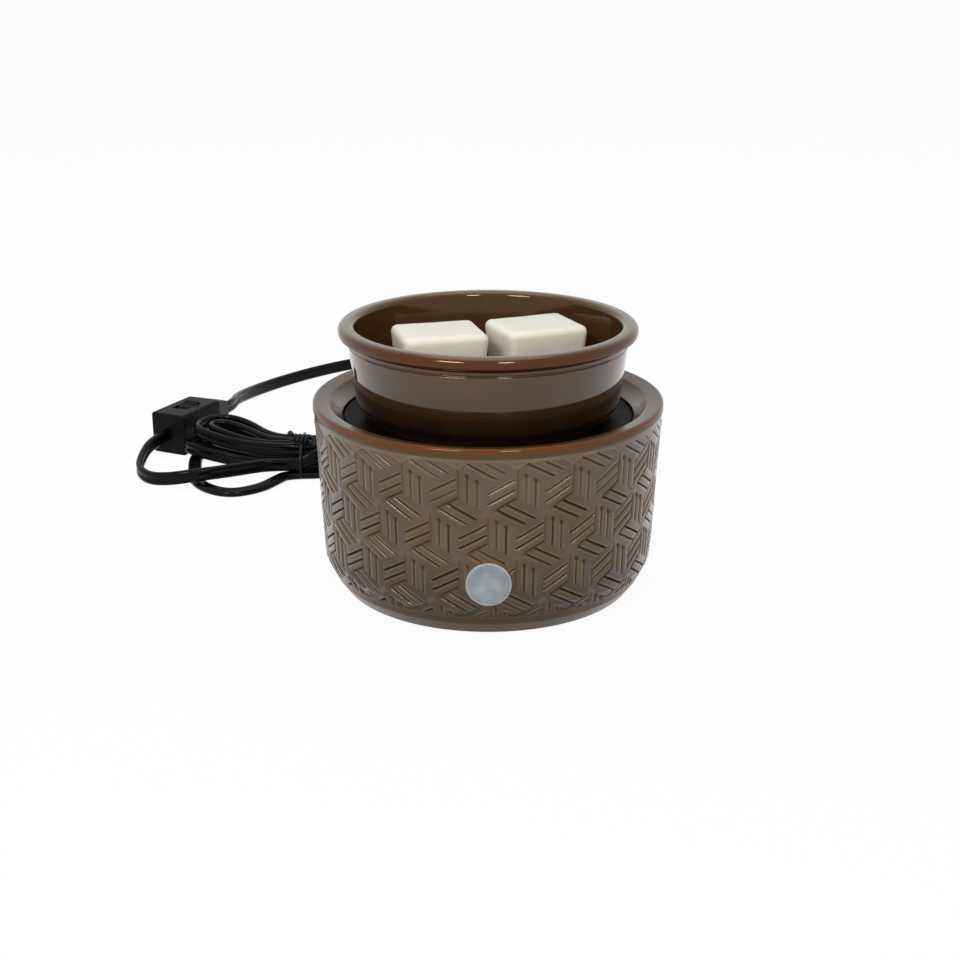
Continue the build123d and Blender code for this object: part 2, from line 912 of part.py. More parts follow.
def switch_rocker():
    """A seesaw cap whose ends run on a circle about its pin, tipped to one side at rest."""
    rise = math.radians(rocker_rise)
    end = (rocker_radius * math.cos(rise), rocker_radius * math.sin(rise))
    low = math.sqrt(rocker_radius**2 - rocker_skirt**2)
    outline = [
        Line((-end[0], end[1]), (0, end[1] - rocker_dip)),
        Line((0, end[1] - rocker_dip), (end[0], end[1])),
        ThreePointArc((end[0], end[1]), (rocker_radius, 0), (low, -rocker_skirt)),
        Line((low, -rocker_skirt), (-low, -rocker_skirt)),
        ThreePointArc((-low, -rocker_skirt), (-rocker_radius, 0), (-end[0], end[1])),
    ]
    side = Plane(origin=(0, rocker_width / 2, 0), x_dir=(1, 0, 0), z_dir=(0, -1, 0))
    cap = extrude(side * make_face(outline), amount=rocker_width)
    hub = pin_radius + pin_lug_drop - shake
    cap += rod(hub, (0, -rocker_width / 2, 0), (0, rocker_width / 2, 0))
    cap -= rod(pin_radius + running, (0, -rocker_width, 0), (0, rocker_width, 0))
    return switch_frame * Pos(rocker_place, 0, pivot_level) * Rot(0, rocker_tilt, 0) * cap


def rocker_pin():
    start = switch_frame * Pos(rocker_place, -lug_outer, pivot_level)
    end = switch_frame * Pos(rocker_place, lug_outer, pivot_level)
    return rod(pin_radius, start.position, end.position)


def switch_terminals():
    posts = []
    for side in (1, -1):
        x = rocker_place + side * terminal_spacing / 2
        post = block(
            (x - terminal_thickness / 2, -terminal_width / 2, floor_inside),
            (x + terminal_thickness / 2, terminal_width / 2, floor_inside + terminal_height),
        )
        foot = block(
            (x - terminal_width / 2, -terminal_width / 2, floor_inside),
            (x + terminal_width / 2, terminal_width / 2, floor_inside + terminal_thickness),
        )
        posts.append(switch_frame * (post + foot))
    return Compound(children=posts)


def contact_leaf():
    """The brass bridge that lies on the terminals."""
    level = floor_inside + terminal_height
    reach = terminal_spacing / 2 + terminal_width / 2
    leaf = block(
        (rocker_place - reach, -leaf_width / 2, level),
        (rocker_place + reach, leaf_width / 2, level + leaf_thickness),
    )
    return switch_frame * leaf


# Cord routes, as they lie on the floor
lead_exit = (0, gland_tip, gland_height)
lead_route = [
    lead_exit,
    (0, gland_tip + 12, gland_height),
    (2, 108, 18.0),
    (6.5, 122, 11.5),
    (13, 137, 5.6),
    (21, 153, cord_floor),
    (30, 172, cord_floor),
    (37, 194, cord_floor),
    (39.5, 218, cord_floor),
    (35, 242, cord_floor),
    (22.5, 263, cord_floor),
    (2, 277, cord_floor),
    (-22, 286.5, cord_floor),
    (-47, 287.5, cord_floor),
    (-69, 280.5, cord_floor),
    (-87, 267.5, cord_floor),
    (-101, 251.5, cord_floor),
    (-110.5, 233.5, 3.4),
    (-116, 214.5, 5.0),
    (-118.6, 196, 7.4),
    switch_point(switch_length + 8, 0, switch_mid),
    switch_point(switch_length, 0, switch_mid),
]

tie_x, tie_y = tie_place
waist_left = tie_x - hank_waist_half
waist_right = tie_x + hank_waist_half
waist_lift = 2 * tie_radius + tie_slack
layer_low = cord_floor
layer_high = cord_floor + hank_layer_step


def column(index):
    """Where a strand crosses the tie, counted from the front."""
    return tie_y + (index - (hank_columns - 1) / 2) * hank_column_step


tail_route = [
    switch_point(0, 0, switch_mid),
    switch_point(-12, 0.3, switch_mid - 0.6),
    (-147.2, 112.0, 5.8),
    (-146.4, 101.0, 3.8),
    (-140.2, 92.6, 3.4),
    (-130.5, 88.6, 5.2),
    (-119.5, 88.6, layer_high + 0.3),
    (-108.5, 93.4, layer_high + 0.6),
    (waist_left - 13, column(0) - 2.6, layer_high + waist_lift),
    (waist_left - cord_width - 1, column(0), layer_high + waist_lift),
    (waist_left, column(0), layer_high + waist_lift),
]

end_route = [
    (waist_right, column(0), layer_low + waist_lift),
    (waist_right + cord_width + 1, column(0), layer_low + waist_lift),
    (waist_right + 12.6, column(0) - 1.9, plug_thickness / 2),
    (waist_right + 17.8, column(0) - 5.6, plug_thickness / 2),
]
plug_heading = Vector(end_route[-1]) - Vector(end_route[-2])
plug_turn = math.degrees(math.atan2(plug_heading.Y, plug_heading.X))

# Each lobe of the hank: its side, the column it comes back on, its reach, half its width and its layer
left_axis = (-0.823, 0.568)
right_axis = (0.94, 0.342)
lobe_shape = [
    (0.36, 0.66), (0.68, 1.0), (0.90, 0.88), (1.0, 0.38),
    (1.0, -0.38), (0.90, -0.88), (0.68, -1.0), (0.36, -0.66),
]
climb_shape = [(0.18, -0.02, 0.62), (0.38, -0.06, 0.20), (0.56, -0.36, 0.0), (0.76, -0.96, 0.0)]
hank_lobes = [
    ("right", 4, 50.0, 11.4, layer_high),
    ("left", 1, 49.0, 11.4, layer_high),
    ("right", 3, 42.0, 5.4, layer_high),
    ("left", 2, 44.0, 5.4, layer_high),
    ("right", 3, 42.0, 5.4, layer_low),
    ("left", 1, 43.0, 6.0, layer_low),
    ("right", 4, 50.0, 11.4, layer_low),
]
# The last lobe swings out to the front in a wide loop
front_loop = [
    (-96.5, 131.5),
    (-109.5, 140.6),
    (-118.0, 143.5),
    (-125.2, 138.0),
    (-129.2, 126.0),
    (-128.8, 112.5),
    (-125.2, 98.0),
    (-116.8, 85.0),
    (-104.5, 78.2),
    (-93.0, 85.0),
    (-87.6, 95.8),
]


def lobe_place(side, reach, half_width, along, across):
    """A point of a lobe, from its share of the reach and of the half width, far side positive."""
    axis = left_axis if side == "left" else right_axis
    start = waist_left if side == "left" else waist_right
    far_side = (-axis[1], axis[0]) if side == "right" else (axis[1], -axis[0])
    x = start + along * reach * axis[0] + across * half_width * far_side[0]
    y = tie_y + along * reach * axis[1] + across * half_width * far_side[1]
    return x, y


def lobe_points(side, reach, half_width, level, last_level):
    """One turn of the hank, entered on the far side at the left and on the near side at the right."""
    turn = 1 if side == "left" else -1
    shape = [(along, turn * across, 0.0) for along, across in lobe_shape]
    if level != last_level:
        shape = climb_shape + shape[2:]
    points = []
    for along, across, climb in shape:
        x, y = lobe_place(side, reach, half_width, along, across)
        points.append((x, y, level + climb * (last_level - level)))
    return points


def waist_corner(side, index):
    """Where a strand turns off the straight at the tie, set so that turned strands keep their spacing."""
    axis = left_axis if side == "left" else right_axis
    half_turn = math.atan2(axis[1], abs(axis[0])) / 2
    shift = math.tan(half_turn) * (column(index) - tie_y)
    return waist_left + shift if side == "left" else waist_right - shift


def hank_route():
    """The hank's line: in on the top layer, down along one run, and out on the bottom layer."""
    top = layer_high + waist_lift
    points = [(waist_left, column(0), top), (waist_corner("right", 0), column(0), top)]
    last_level = layer_high
    for side, leave, reach, half_width, level in hank_lobes:
        points += lobe_points(side, reach, half_width, level, last_level)
        other = "right" if side == "left" else "left"
        points.append((waist_corner(side, leave), column(leave), level + waist_lift))
        points.append((waist_corner(other, leave), column(leave), level + waist_lift))
        last_level = level
    points += [(x, y, layer_low) for x, y in front_loop]
    points.append((waist_left, column(0), layer_low + waist_lift))
    points.append((waist_right, column(0), layer_low + waist_lift))
    return points


def least_gap(points):
    """The least gap between stretches of the hank that aren't neighbours along it."""
    route = FilletPolyline(*points, radius=bend_radii(points))
    count = int(route.length / gap_step)
    line = [route @ (i / count) for i in range(count + 1)]
    core = cord_width - cord_thickness
    apart = int(gap_apart / gap_step)
    best = 1e9
    where = None
    for i, a in enumerate(line):
        for b in line[i + apart:]:
            level = max(0.0, abs(a.Z - b.Z) - core)
            gap = math.sqrt((a.X - b.X) ** 2 + (a.Y - b.Y) ** 2 + level**2) - cord_thickness
            if gap < best:
                best = gap
                where = (a, b)
    print(f"cord_hank: least gap to itself {best:.2f} mm at {where[0]} and {where[1]}")


def cord_hank():
    points = hank_route()
    least_gap(points)
    return cord_tube("cord_hank", points)


def twist_tie():
    """A coated wire drawn round the bundle, its two ends twisted together on top."""
    side = (hank_columns - 1) / 2 * hank_column_step + cord_thickness / 2 + tie_radius + tie_slack
    low = tie_radius
    high = layer_high + waist_lift + cord_width / 2 + tie_radius + tie_slack
    points = [
        (tie_x, tie_y - side, low),
        (tie_x, tie_y + side, low),
        (tie_x, tie_y + side, high),
        (tie_x, tie_y - side, high),
    ]
    route = FilletPolyline(*points, radius=tie_radius, close=True)
    start = Plane(origin=route @ 0, z_dir=route % 0)
    band = sweep(start * Circle(tie_radius), path=route)
    knot = (tie_x, tie_y - side / 3, high)
    tip = (tie_x - tie_twist_length, knot[1] - tie_twist_set, high + tie_twist_rise)
    return band + rod(tie_twist_radius, knot, tip)


plug_frame = Pos(*end_route[-1]) * Rot(0, 0, plug_turn)


def plug_blade(side, start, end):
    half = blade_thickness / 2
    return block(
        (start, side * blade_spacing / 2 - half, -blade_width / 2),
        (end, side * blade_spacing / 2 + half, blade_width / 2),
    )


plug_face = plug_relief_length + plug_length


def plug_body():
    body = block(
        (plug_relief_length, -plug_width / 2, -plug_thickness / 2),
        (plug_face, plug_width / 2, plug_thickness / 2),
    )
    body = fillet(body.edges().filter_by(Axis.X), plug_round)
    thin = Plane(origin=(0, 0, 0), x_dir=(0, 1, 0), z_dir=(1, 0, 0))
    thick = Plane(origin=(plug_relief_length, 0, 0), x_dir=(0, 1, 0), z_dir=(1, 0, 0))
    thin_face = thin * RectangleRounded(plug_relief_tip_width, plug_relief_tip_height, plug_relief_round)
    thick_face = thick * RectangleRounded(plug_relief_width, plug_relief_height, plug_relief_round)
    body += loft([thin_face, thick_face])
    for side in (1, -1):
        body -= plug_blade(side, plug_face - blade_root, plug_face)
    return plug_frame * body


def plug_blades():
    root = plug_face - blade_root
    tip = plug_face + blade_length
    return Compound(children=[plug_frame * plug_blade(side, root, tip) for side in (1, -1)])


save(ceramic_base(), "ceramic_base")
save(wax_dish(), "wax_dish")
save(wax_cube(wax_left_place, wax_left_turn), "wax_cube_left")
save(wax_cube(wax_right_place, wax_right_turn), "wax_cube_right")
for make in (
    hot_plate, plate_gasket, heater_element, heater_insulation, heater_bracket, bracket_nuts, thermal_fuse,
    fuse_clip, standoff_posts, bottom_cover, cover_screws, rubber_feet, indicator_lens, lens_retainer,
    lamp_holder, indicator_lamp, cord_gland, gland_ring, inner_cord, cord_clamp, clamp_cap, clamp_screws,
    terminal_block, cord_cores, heater_lead, fuse_lead, fuse_tail, lamp_leads, switch_top_shell,
    switch_bottom_shell, switch_screws, switch_rocker, rocker_pin, switch_terminals, contact_leaf, cord_hank,
    twist_tie, plug_body, plug_blades,
):
    save(make(), make.__name__)
save(cord_tube("cord_lead", lead_route), "cord_lead")
save(cord_tube("cord_tail", tail_route), "cord_tail")
save(cord_tube("cord_end", end_route), "cord_end")
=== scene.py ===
import bpy
import json
import math
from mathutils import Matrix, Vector


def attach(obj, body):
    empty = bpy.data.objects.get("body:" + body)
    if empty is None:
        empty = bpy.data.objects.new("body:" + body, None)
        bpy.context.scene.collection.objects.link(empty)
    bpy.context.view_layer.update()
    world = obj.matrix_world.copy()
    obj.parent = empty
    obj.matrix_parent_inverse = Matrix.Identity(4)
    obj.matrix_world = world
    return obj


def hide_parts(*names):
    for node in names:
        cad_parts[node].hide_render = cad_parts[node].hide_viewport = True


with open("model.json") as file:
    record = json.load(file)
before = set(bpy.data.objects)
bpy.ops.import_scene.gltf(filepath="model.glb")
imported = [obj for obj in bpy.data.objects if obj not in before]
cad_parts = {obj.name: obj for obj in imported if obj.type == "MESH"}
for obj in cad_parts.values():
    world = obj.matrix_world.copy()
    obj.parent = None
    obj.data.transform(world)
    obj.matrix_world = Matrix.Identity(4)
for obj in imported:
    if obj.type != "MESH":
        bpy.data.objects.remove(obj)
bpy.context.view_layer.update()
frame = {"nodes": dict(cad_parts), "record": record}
nodes = frame["nodes"]
mm = 0.001


# Shader maths as expressions: a wrapped socket adds its Math nodes when it is used in one
class Value:
    def __init__(self, tree, socket):
        self.tree = tree
        self.socket = socket

    def maths(self, operation, first, second, clamp=False):
        node = self.tree.nodes.new("ShaderNodeMath")
        node.operation = operation
        node.use_clamp = clamp
        for place, item in zip(node.inputs, (first, second)):
            feed(self.tree, place, item)
        return Value(self.tree, node.outputs[0])

    def __add__(self, other):
        return self.maths("ADD", self, other)

    def __radd__(self, other):
        return self.maths("ADD", other, self)

    def __sub__(self, other):
        return self.maths("SUBTRACT", self, other)

    def __rsub__(self, other):
        return self.maths("SUBTRACT", other, self)

    def __mul__(self, other):
        return self.maths("MULTIPLY", self, other)

    def __rmul__(self, other):
        return self.maths("MULTIPLY", other, self)

    def __pow__(self, other):
        return self.maths("POWER", self, other)

    def clamped(self):
        return self.maths("ADD", self, 0.0, True)


def feed(tree, place, item):
    # a wrapped socket is linked, and a plain value is set
    if isinstance(item, Value):
        tree.links.new(item.socket, place)
    else:
        place.default_value = item


def ease(low, high, place):
    share = min(1.0, max(0.0, (place - low) / (high - low)))
    return share * share * (3 - 2 * share)


def tint(red, green, blue):
    # a colour as read off a screen, 0 to 255, made linear
    def linear(part):
        share = part / 255
        return share / 12.92 if share <= 0.04045 else ((share + 0.055) / 1.055) ** 2.4
    return (linear(red), linear(green), linear(blue), 1.0)


class Finish:
    def __init__(self, name):
        self.material = bpy.data.materials.new(name)
        self.material.use_nodes = True
        self.tree = self.material.node_tree
        self.shader = self.tree.nodes["Principled BSDF"]

    def node(self, kind, settings, inputs, output=0):
        # any other node: settings first, then the values or links of its sockets
        node = self.tree.nodes.new(kind)
        for key, item in settings.items():
            setattr(node, key, item)
        for key, item in inputs.items():
            feed(self.tree, node.inputs[key], item)
        return Value(self.tree, node.outputs[output])

    def coords(self):
        return self.node("ShaderNodeTexCoord", {}, {}, "Object")

    def attribute(self, name):
        return self.node("ShaderNodeAttribute", {"attribute_name": name}, {}, "Fac")

    def noise(self, scale, detail, stretch=None, distortion=0.0):
        place = self.coords()
        if stretch:
            place = self.node("ShaderNodeMapping", {}, {"Vector": place, "Scale": stretch})
        inputs = {"Vector": place, "Scale": scale, "Detail": detail, "Distortion": distortion}
        return self.node("ShaderNodeTexNoise", {}, inputs, "Fac")

    def mix(self, share, first, second):
        # a Mix node has its colours on sockets 6 and 7, and their mix on output 2
        return self.node("ShaderNodeMix", {"data_type": "RGBA"}, {0: share, 6: first, 7: second}, 2)

    def bump(self, height, distance, strength):
        return self.node("ShaderNodeBump", {}, {"Height": height, "Distance": distance, "Strength": strength})

    def set(self, **inputs):
        names = {
            "colour": "Base Color", "rough": "Roughness", "metal": "Metallic", "coat": "Coat Weight",
            "coatRough": "Coat Roughness", "normal": "Normal", "specular": "Specular IOR Level",
            "sheen": "Specular Tint", "sub": "Subsurface Weight", "subScale": "Subsurface Scale",
            "subRadius": "Subsurface Radius",
        }
        for key, item in inputs.items():
            feed(self.tree, self.shader.inputs[names[key]], item)


def only(piece):
    bpy.ops.object.select_all(action="DESELECT")
    piece.select_set(True)
    bpy.context.view_layer.objects.active = piece


def editAll(piece):
    # edit mode, with all of the piece selected
    only(piece)
    bpy.ops.object.mode_set(mode="EDIT")
    bpy.ops.mesh.select_all(action="SELECT")


def leaveEdit():
    bpy.ops.object.mode_set(mode="OBJECT")


def newPiece(name, verts, faces):
    mesh = bpy.data.meshes.new(name)
    mesh.from_pydata(verts, [], faces)
    piece = bpy.data.objects.new(name, mesh)
    bpy.context.scene.collection.objects.link(piece)
    return piece


def outward(piece):
    # doubles merged, faces pointing out, smooth but for real edges
    editAll(piece)
    bpy.ops.mesh.remove_doubles(threshold=0.002 * mm)
    bpy.ops.mesh.normals_make_consistent(inside=False)
    leaveEdit()
    bpy.ops.object.shade_smooth_by_angle(angle=math.radians(38))


def dress(piece, finish, body="base"):
    piece.data.materials.clear()
    piece.data.materials.append(finish.material)
    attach(piece, body)


def paint(piece, name, rule):
    # a number for each vertex, from its place in millimetres
    layer = piece.data.attributes.new(name, "FLOAT", "POINT")
    for vertex, item in zip(piece.data.vertices, layer.data):
        item.value = rule(vertex.co.x / mm, vertex.co.y / mm, vertex.co.z / mm)


# Camera
camera = {"place": (-2.73, -494.96, 211.04), "pitch": 70.46, "lens": 56.25, "sensor": 36.0, "near": 10.0}


def setCamera():
    data = bpy.data.cameras.new("camera")
    eye = bpy.data.objects.new("camera", data)
    bpy.context.scene.collection.objects.link(eye)
    eye.location = [part * mm for part in camera["place"]]
    eye.rotation_euler = (math.radians(camera["pitch"]), 0, 0)
    data.lens = camera["lens"]
    data.sensor_width = camera["sensor"]
    data.clip_start = camera["near"] * mm
    bpy.context.scene.camera = eye


setCamera()
print("camera set")

# Lead: the solids' own points in millimetres, some of them shifted a little, and after the third number how
# many degrees the flat cord leans over
lead = {
    "width": 5.8, "thickness": 2.9, "floor": 2.95, "layerStep": 6.4, "glandTip": (0.0, 82.793, 22.0),
    "switchEnd": (-140.0, 134.5), "switchTurn": 64.5, "switchLength": 41.5, "switchMid": 9.15,
    "tie": (-78.0, 111.0), "waist": 6.0, "columnStep": 3.8, "lift": 1.5, "flatMid": 1.5,
    "plugMid": 7.0, "leadSteps": 14, "tiedSteps": 10,
}
layerLow = lead["floor"]
layerHigh = lead["floor"] + lead["layerStep"]
tieX, tieY = lead["tie"]
waistLeft = tieX - lead["waist"]
waistRight = tieX + lead["waist"]


def switchPoint(along, across, level):
    turn = math.radians(lead["switchTurn"])
    x = lead["switchEnd"][0] + along * math.cos(turn) - across * math.sin(turn)
    y = lead["switchEnd"][1] + along * math.sin(turn) + across * math.cos(turn)
    return (x, y, level)


def column(index):
    return tieY + (index - 2) * lead["columnStep"]


leadRoute = [
    lead["glandTip"], (0, lead["glandTip"][1] + 12, lead["glandTip"][2]),
    (2, 108, 18.0), (6.5, 122, 11.5), (13, 137, 5.6),
    (21, 153, layerLow), (30, 172, layerLow), (37, 194, layerLow), (39.5, 218, layerLow), (35, 242, layerLow),
    (22.5, 263, layerLow), (2, 277, layerLow), (-22, 286.5, layerLow), (-47, 287.5, layerLow),
    (-68, 278.0, layerLow, 18), (-86, 262.5, layerLow, 28), (-100, 246.5, layerLow, 28),
    (-110.5, 230.0, 3.4, 28), (-116.6, 212.5, 5.0, 22), (-119.4, 195, 7.4, 10),
    switchPoint(lead["switchLength"] + 8, 0, lead["switchMid"]),
    switchPoint(lead["switchLength"], 0, lead["switchMid"]),
]
tailRoute = [
    switchPoint(0, 0, lead["switchMid"]), switchPoint(-12, 0.3, lead["switchMid"] - 0.6),
    (-147.2, 112.0, 5.8), (-146.4, 101.0, 3.8), (-140.2, 92.6, 3.2), (-130.5, 88.6, 4.4),
    (-119.5, 88.4, 6.2), (-108.5, 93.0, 6.2), (waistLeft - 13, column(0) - 4.4, 6.2),
    (waistLeft - lead["width"] - 1, column(0) - 2.0, 6.2), (tieX, column(0) - 1.5, 6.2),
]
# the end lies flat under the tie and stands up again at the plug
endRoute = [
    (waistRight + lead["width"] + 1, column(0) - 0.8, 1.6, 90),
    (waistRight + 12.6, column(0) - 1.9, 5.0, 40),
    (waistRight + 17.8, column(0) - 5.6, lead["plugMid"]),
]

# Each lobe of the hank: its side, the column it comes back on, its reach, half its width, its layer,
# how far its tip rises and how many degrees it swings towards the front
leftAxis = (-0.823, 0.568)
rightAxis = (0.94, 0.342)
lobeShape = [
    (0.36, 0.66), (0.68, 1.0), (0.90, 0.88), (1.0, 0.38),
    (1.0, -0.38), (0.90, -0.88), (0.68, -1.0), (0.36, -0.66),
]
climbShape = [(0.18, -0.02, 0.62), (0.38, -0.06, 0.20), (0.56, -0.36, 0.0), (0.76, -0.96, 0.0)]
hankLobes = [
    ("right", 4, 50.0, 11.4, layerHigh, 0, 0), ("left", 1, 49.0, 11.4, layerHigh, 3.4, 0),
    ("right", 3, 42.0, 5.4, layerHigh, 0, 0), ("left", 2, 44.0, 5.4, layerHigh, 2.7, 0),
    ("right", 3, 42.0, 5.4, layerLow, 0, 0), ("left", 1, 49.0, 6.2, layerLow, 3.6, 14),
    ("right", 4, 50.0, 11.4, layerLow, 0, 0),
]
# the front loop comes down from the hank and lies flat
frontFlat = [
    (-109.5, 141.6), (-118.2, 143.6), (-124.2, 136.4), (-126.6, 124.0), (-124.6, 111.0), (-122.6, 97.5),
    (-115.8, 85.4), (-104.5, 78.6), (-93.0, 85.4), (-87.6, 95.6), (waistLeft, column(0) - 1.3),
]
frontLoop = [(-96.5, 132.0, 2.85, 30)] + [(x, y, lead["flatMid"], 90) for x, y in frontFlat]


def lobePlace(side, reach, halfWidth, along, across, swing):
    x, y = leftAxis if side == "left" else rightAxis
    c, s = math.cos(math.radians(swing)), math.sin(math.radians(swing))
    axis = (x * c - y * s, x * s + y * c)
    start = waistLeft if side == "left" else waistRight
    farSide = (-axis[1], axis[0]) if side == "right" else (axis[1], -axis[0])
    x = start + along * reach * axis[0] + across * halfWidth * farSide[0]
    y = tieY + along * reach * axis[1] + across * halfWidth * farSide[1]
    return x, y


def lobePoints(side, reach, halfWidth, level, lastLevel, rise, swing):
    turn = 1 if side == "left" else -1
    shape = [(along, turn * across, 0.0) for along, across in lobeShape]
    if level != lastLevel:
        shape = climbShape + shape[2:]
    points = []
    for along, across, climb in shape:
        x, y = lobePlace(side, reach, halfWidth, along, across, swing)
        points.append((x, y, level + climb * (lastLevel - level) + rise * ease(0.3, 0.95, along)))
    return points


def waistCorner(side, index):
    axis = leftAxis if side == "left" else rightAxis
    halfTurn = math.atan2(axis[1], abs(axis[0])) / 2
    shift = math.tan(halfTurn) * (column(index) - tieY)
    return waistLeft + shift if side == "left" else waistRight - shift


def hankRoute():
    points = [(waistCorner("right", 0), column(0), layerHigh + lead["lift"])]
    lastLevel = layerHigh
    for side, leave, reach, halfWidth, level, rise, swing in hankLobes:
        points += lobePoints(side, reach, halfWidth, level, lastLevel, rise, swing)
        other = "right" if side == "left" else "left"
        points.append((waistCorner(side, leave), column(leave), level + lead["lift"]))
        points.append((waistCorner(other, leave), column(leave), level + lead["lift"]))
        lastLevel = level
    return points + frontLoop


def splineCurve(name, points, steps, closed=False):
    # a smooth curve object whose control points are the points given in millimetres
    data = bpy.data.curves.new(name, "CURVE")
    data.dimensions = "3D"
    spline = data.splines.new("NURBS")
    spline.points.add(len(points) - 1)
    for point, place in zip(spline.points, points):
        point.co = (place[0] * mm, place[1] * mm, place[2] * mm, 1.0)
    spline.order_u = 3
    spline.use_endpoint_u = not closed
    spline.use_cyclic_u = closed
    spline.resolution_u = steps
    holder = bpy.data.objects.new(name, data)
    bpy.context.scene.collection.objects.link(holder)
    return holder


def splinePoints(name, points, steps):
    holder = splineCurve(name + "Line", points, steps)
    data = holder.data
    bpy.context.view_layer.update()
    mesh = bpy.data.meshes.new_from_object(holder)
    places = [vertex.co.copy() for vertex in mesh.vertices]
    bpy.data.meshes.remove(mesh)
    bpy.data.objects.remove(holder)
    bpy.data.curves.remove(data)
    return places


def smoothLine(name, route, steps):
    # the line and, from a second spline with as many points, how far the cord leans at each of them
    spacing = 9.0
    leans = [(point[3] if len(point) > 3 else 0.0, spacing * i, 0.0) for i, point in enumerate(route)]
    line = []
    turns = []
    for place, lean in zip(splinePoints(name, route, steps), splinePoints(name, leans, steps)):
        if not line or (place - line[-1]).length > 0.05 * mm:
            line.append(place)
            turns.append(math.radians(lean.x / mm))
    return line, turns


def twinSection():
    # two round cores side by side in one jacket, with a valley between them
    half = lead["thickness"] / 2
    upper = []
    for step in range(9):
        turn = math.radians(-55 + 290 * step / 8)
        upper.append((half * math.cos(turn) * mm, (half * math.sin(turn) + half) * mm))
    return upper + [(x, -y) for x, y in reversed(upper)]


def sweepTube(name, line, turns, section):
    # the section stands upright along the line but for its lean
    verts = []
    faces = []
    count = len(section)
    for i, place in enumerate(line):
        heading = (line[min(i + 1, len(line) - 1)] - line[max(i - 1, 0)]).normalized()
        up = Vector((0, 0, 1)) - heading * heading.z
        up.normalize()
        side = heading.cross(up)
        lean = turns[i]
        tall = up * math.cos(lean) + side * math.sin(lean)
        flat = side * math.cos(lean) - up * math.sin(lean)
        for x, y in section:
            verts.append(place + flat * x + tall * y)
    for i in range(len(line) - 1):
        for j in range(count):
            k = (j + 1) % count
            faces.append((i * count + j, i * count + k, (i + 1) * count + k, (i + 1) * count + j))
    last = (len(line) - 1) * count
    faces.append(tuple(range(count)))
    faces.append(tuple(last + j for j in reversed(range(count))))
    piece = newPiece(name, verts, faces)
    outward(piece)
    return piece


def lineLength(line):
    return sum((b - a).length for a, b in zip(line, line[1:]))


def vinylFinish():
    finish = Finish("cordVinyl")
    grain = finish.noise(900.0, 2.0)
    wear = finish.noise(60.0, 3.0)
    finish.set(
        colour=finish.mix(wear, tint(6, 6, 6), tint(13, 13, 13)), rough=0.14 + 0.10 * wear,
        normal=finish.bump(grain, 0.00006, 0.3), specular=0.09,
    )
    return finish


vinyl = vinylFinish()
leadLine, leadTurns = smoothLine("mainLead", leadRoute, lead["leadSteps"])
tiedRoute = tailRoute + hankRoute() + endRoute
bundleLine, bundleTurns = smoothLine("tiedLead", tiedRoute, lead["tiedSteps"])
mainLead = sweepTube("mainLead", leadLine, leadTurns, twinSection())
tiedLead = sweepTube("tiedLead", bundleLine, bundleTurns, twinSection())
dress(mainLead, vinyl)
dress(tiedLead, vinyl)
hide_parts("cord_lead")
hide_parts("cord_tail", "cord_hank", "cord_end")
lineLength(leadLine)
lineLength(bundleLine)
print("leads laid", round(lineLength(leadLine), 3), round(lineLength(bundleLine), 3))


# Turned pieces: a ring is extruded along the profile, point by point
def roundedProfile(corners, steps=6):
    # (radius, height, rounding) corners in millimetres, each rounding made an arc
    points = []
    count = len(corners)
    for i, (r, z, rounding) in enumerate(corners):
        here = Vector((r, z))
        before = Vector(corners[i - 1][:2])
        after = Vector(corners[(i + 1) % count][:2])
        if rounding == 0:
            points.append((r, z))
            continue
        inward = (before - here).normalized()
        onward = (after - here).normalized()
        half = inward.angle(onward) / 2
        reach = min(rounding / math.tan(half), 0.49 * (before - here).length, 0.49 * (after - here).length)
        radius = reach * math.tan(half)
        middle = here + (inward + onward).normalized() * (radius / math.sin(half))
        first = here + inward * reach - middle
        last = here + onward * reach - middle
        sweep = first.angle_signed(last)
        for step in range(steps + 1):
            turn = -sweep * step / steps
            x = first.x * math.cos(turn) - first.y * math.sin(turn)
            y = first.x * math.sin(turn) + first.y * math.cos(turn)
            points.append((middle.x + x, middle.y + y))
    return points


def turnedPiece(name, profile, segments, pole=False):
    # pole: flat discs close the profile at its start and its end
    bpy.ops.object.select_all(action="DESELECT")
    fill = "TRIFAN" if pole else "NOTHING"
    r, z = profile[0]
    bpy.ops.mesh.primitive_circle_add(
        vertices=segments, radius=r * mm, location=(0, 0, z * mm), fill_type=fill,
    )
    piece = bpy.context.object
    piece.name = name
    bpy.ops.object.transform_apply(location=True, rotation=True, scale=True)
    editAll(piece)
    bpy.ops.mesh.select_mode(type="EDGE")
    if pole:
        bpy.ops.mesh.region_to_loop()
    for (r0, z0), (r1, z1) in zip(profile, profile[1:]):
        bpy.ops.mesh.extrude_region_move(TRANSFORM_OT_translate={"value": (0, 0, (z1 - z0) * mm)})
        bpy.ops.transform.resize(value=(r1 / r0, r1 / r0, 1), center_override=(0, 0, z1 * mm))
    if pole:
        bpy.ops.mesh.merge(type="CENTER")
    leaveEdit()
    outward(piece)
    return piece


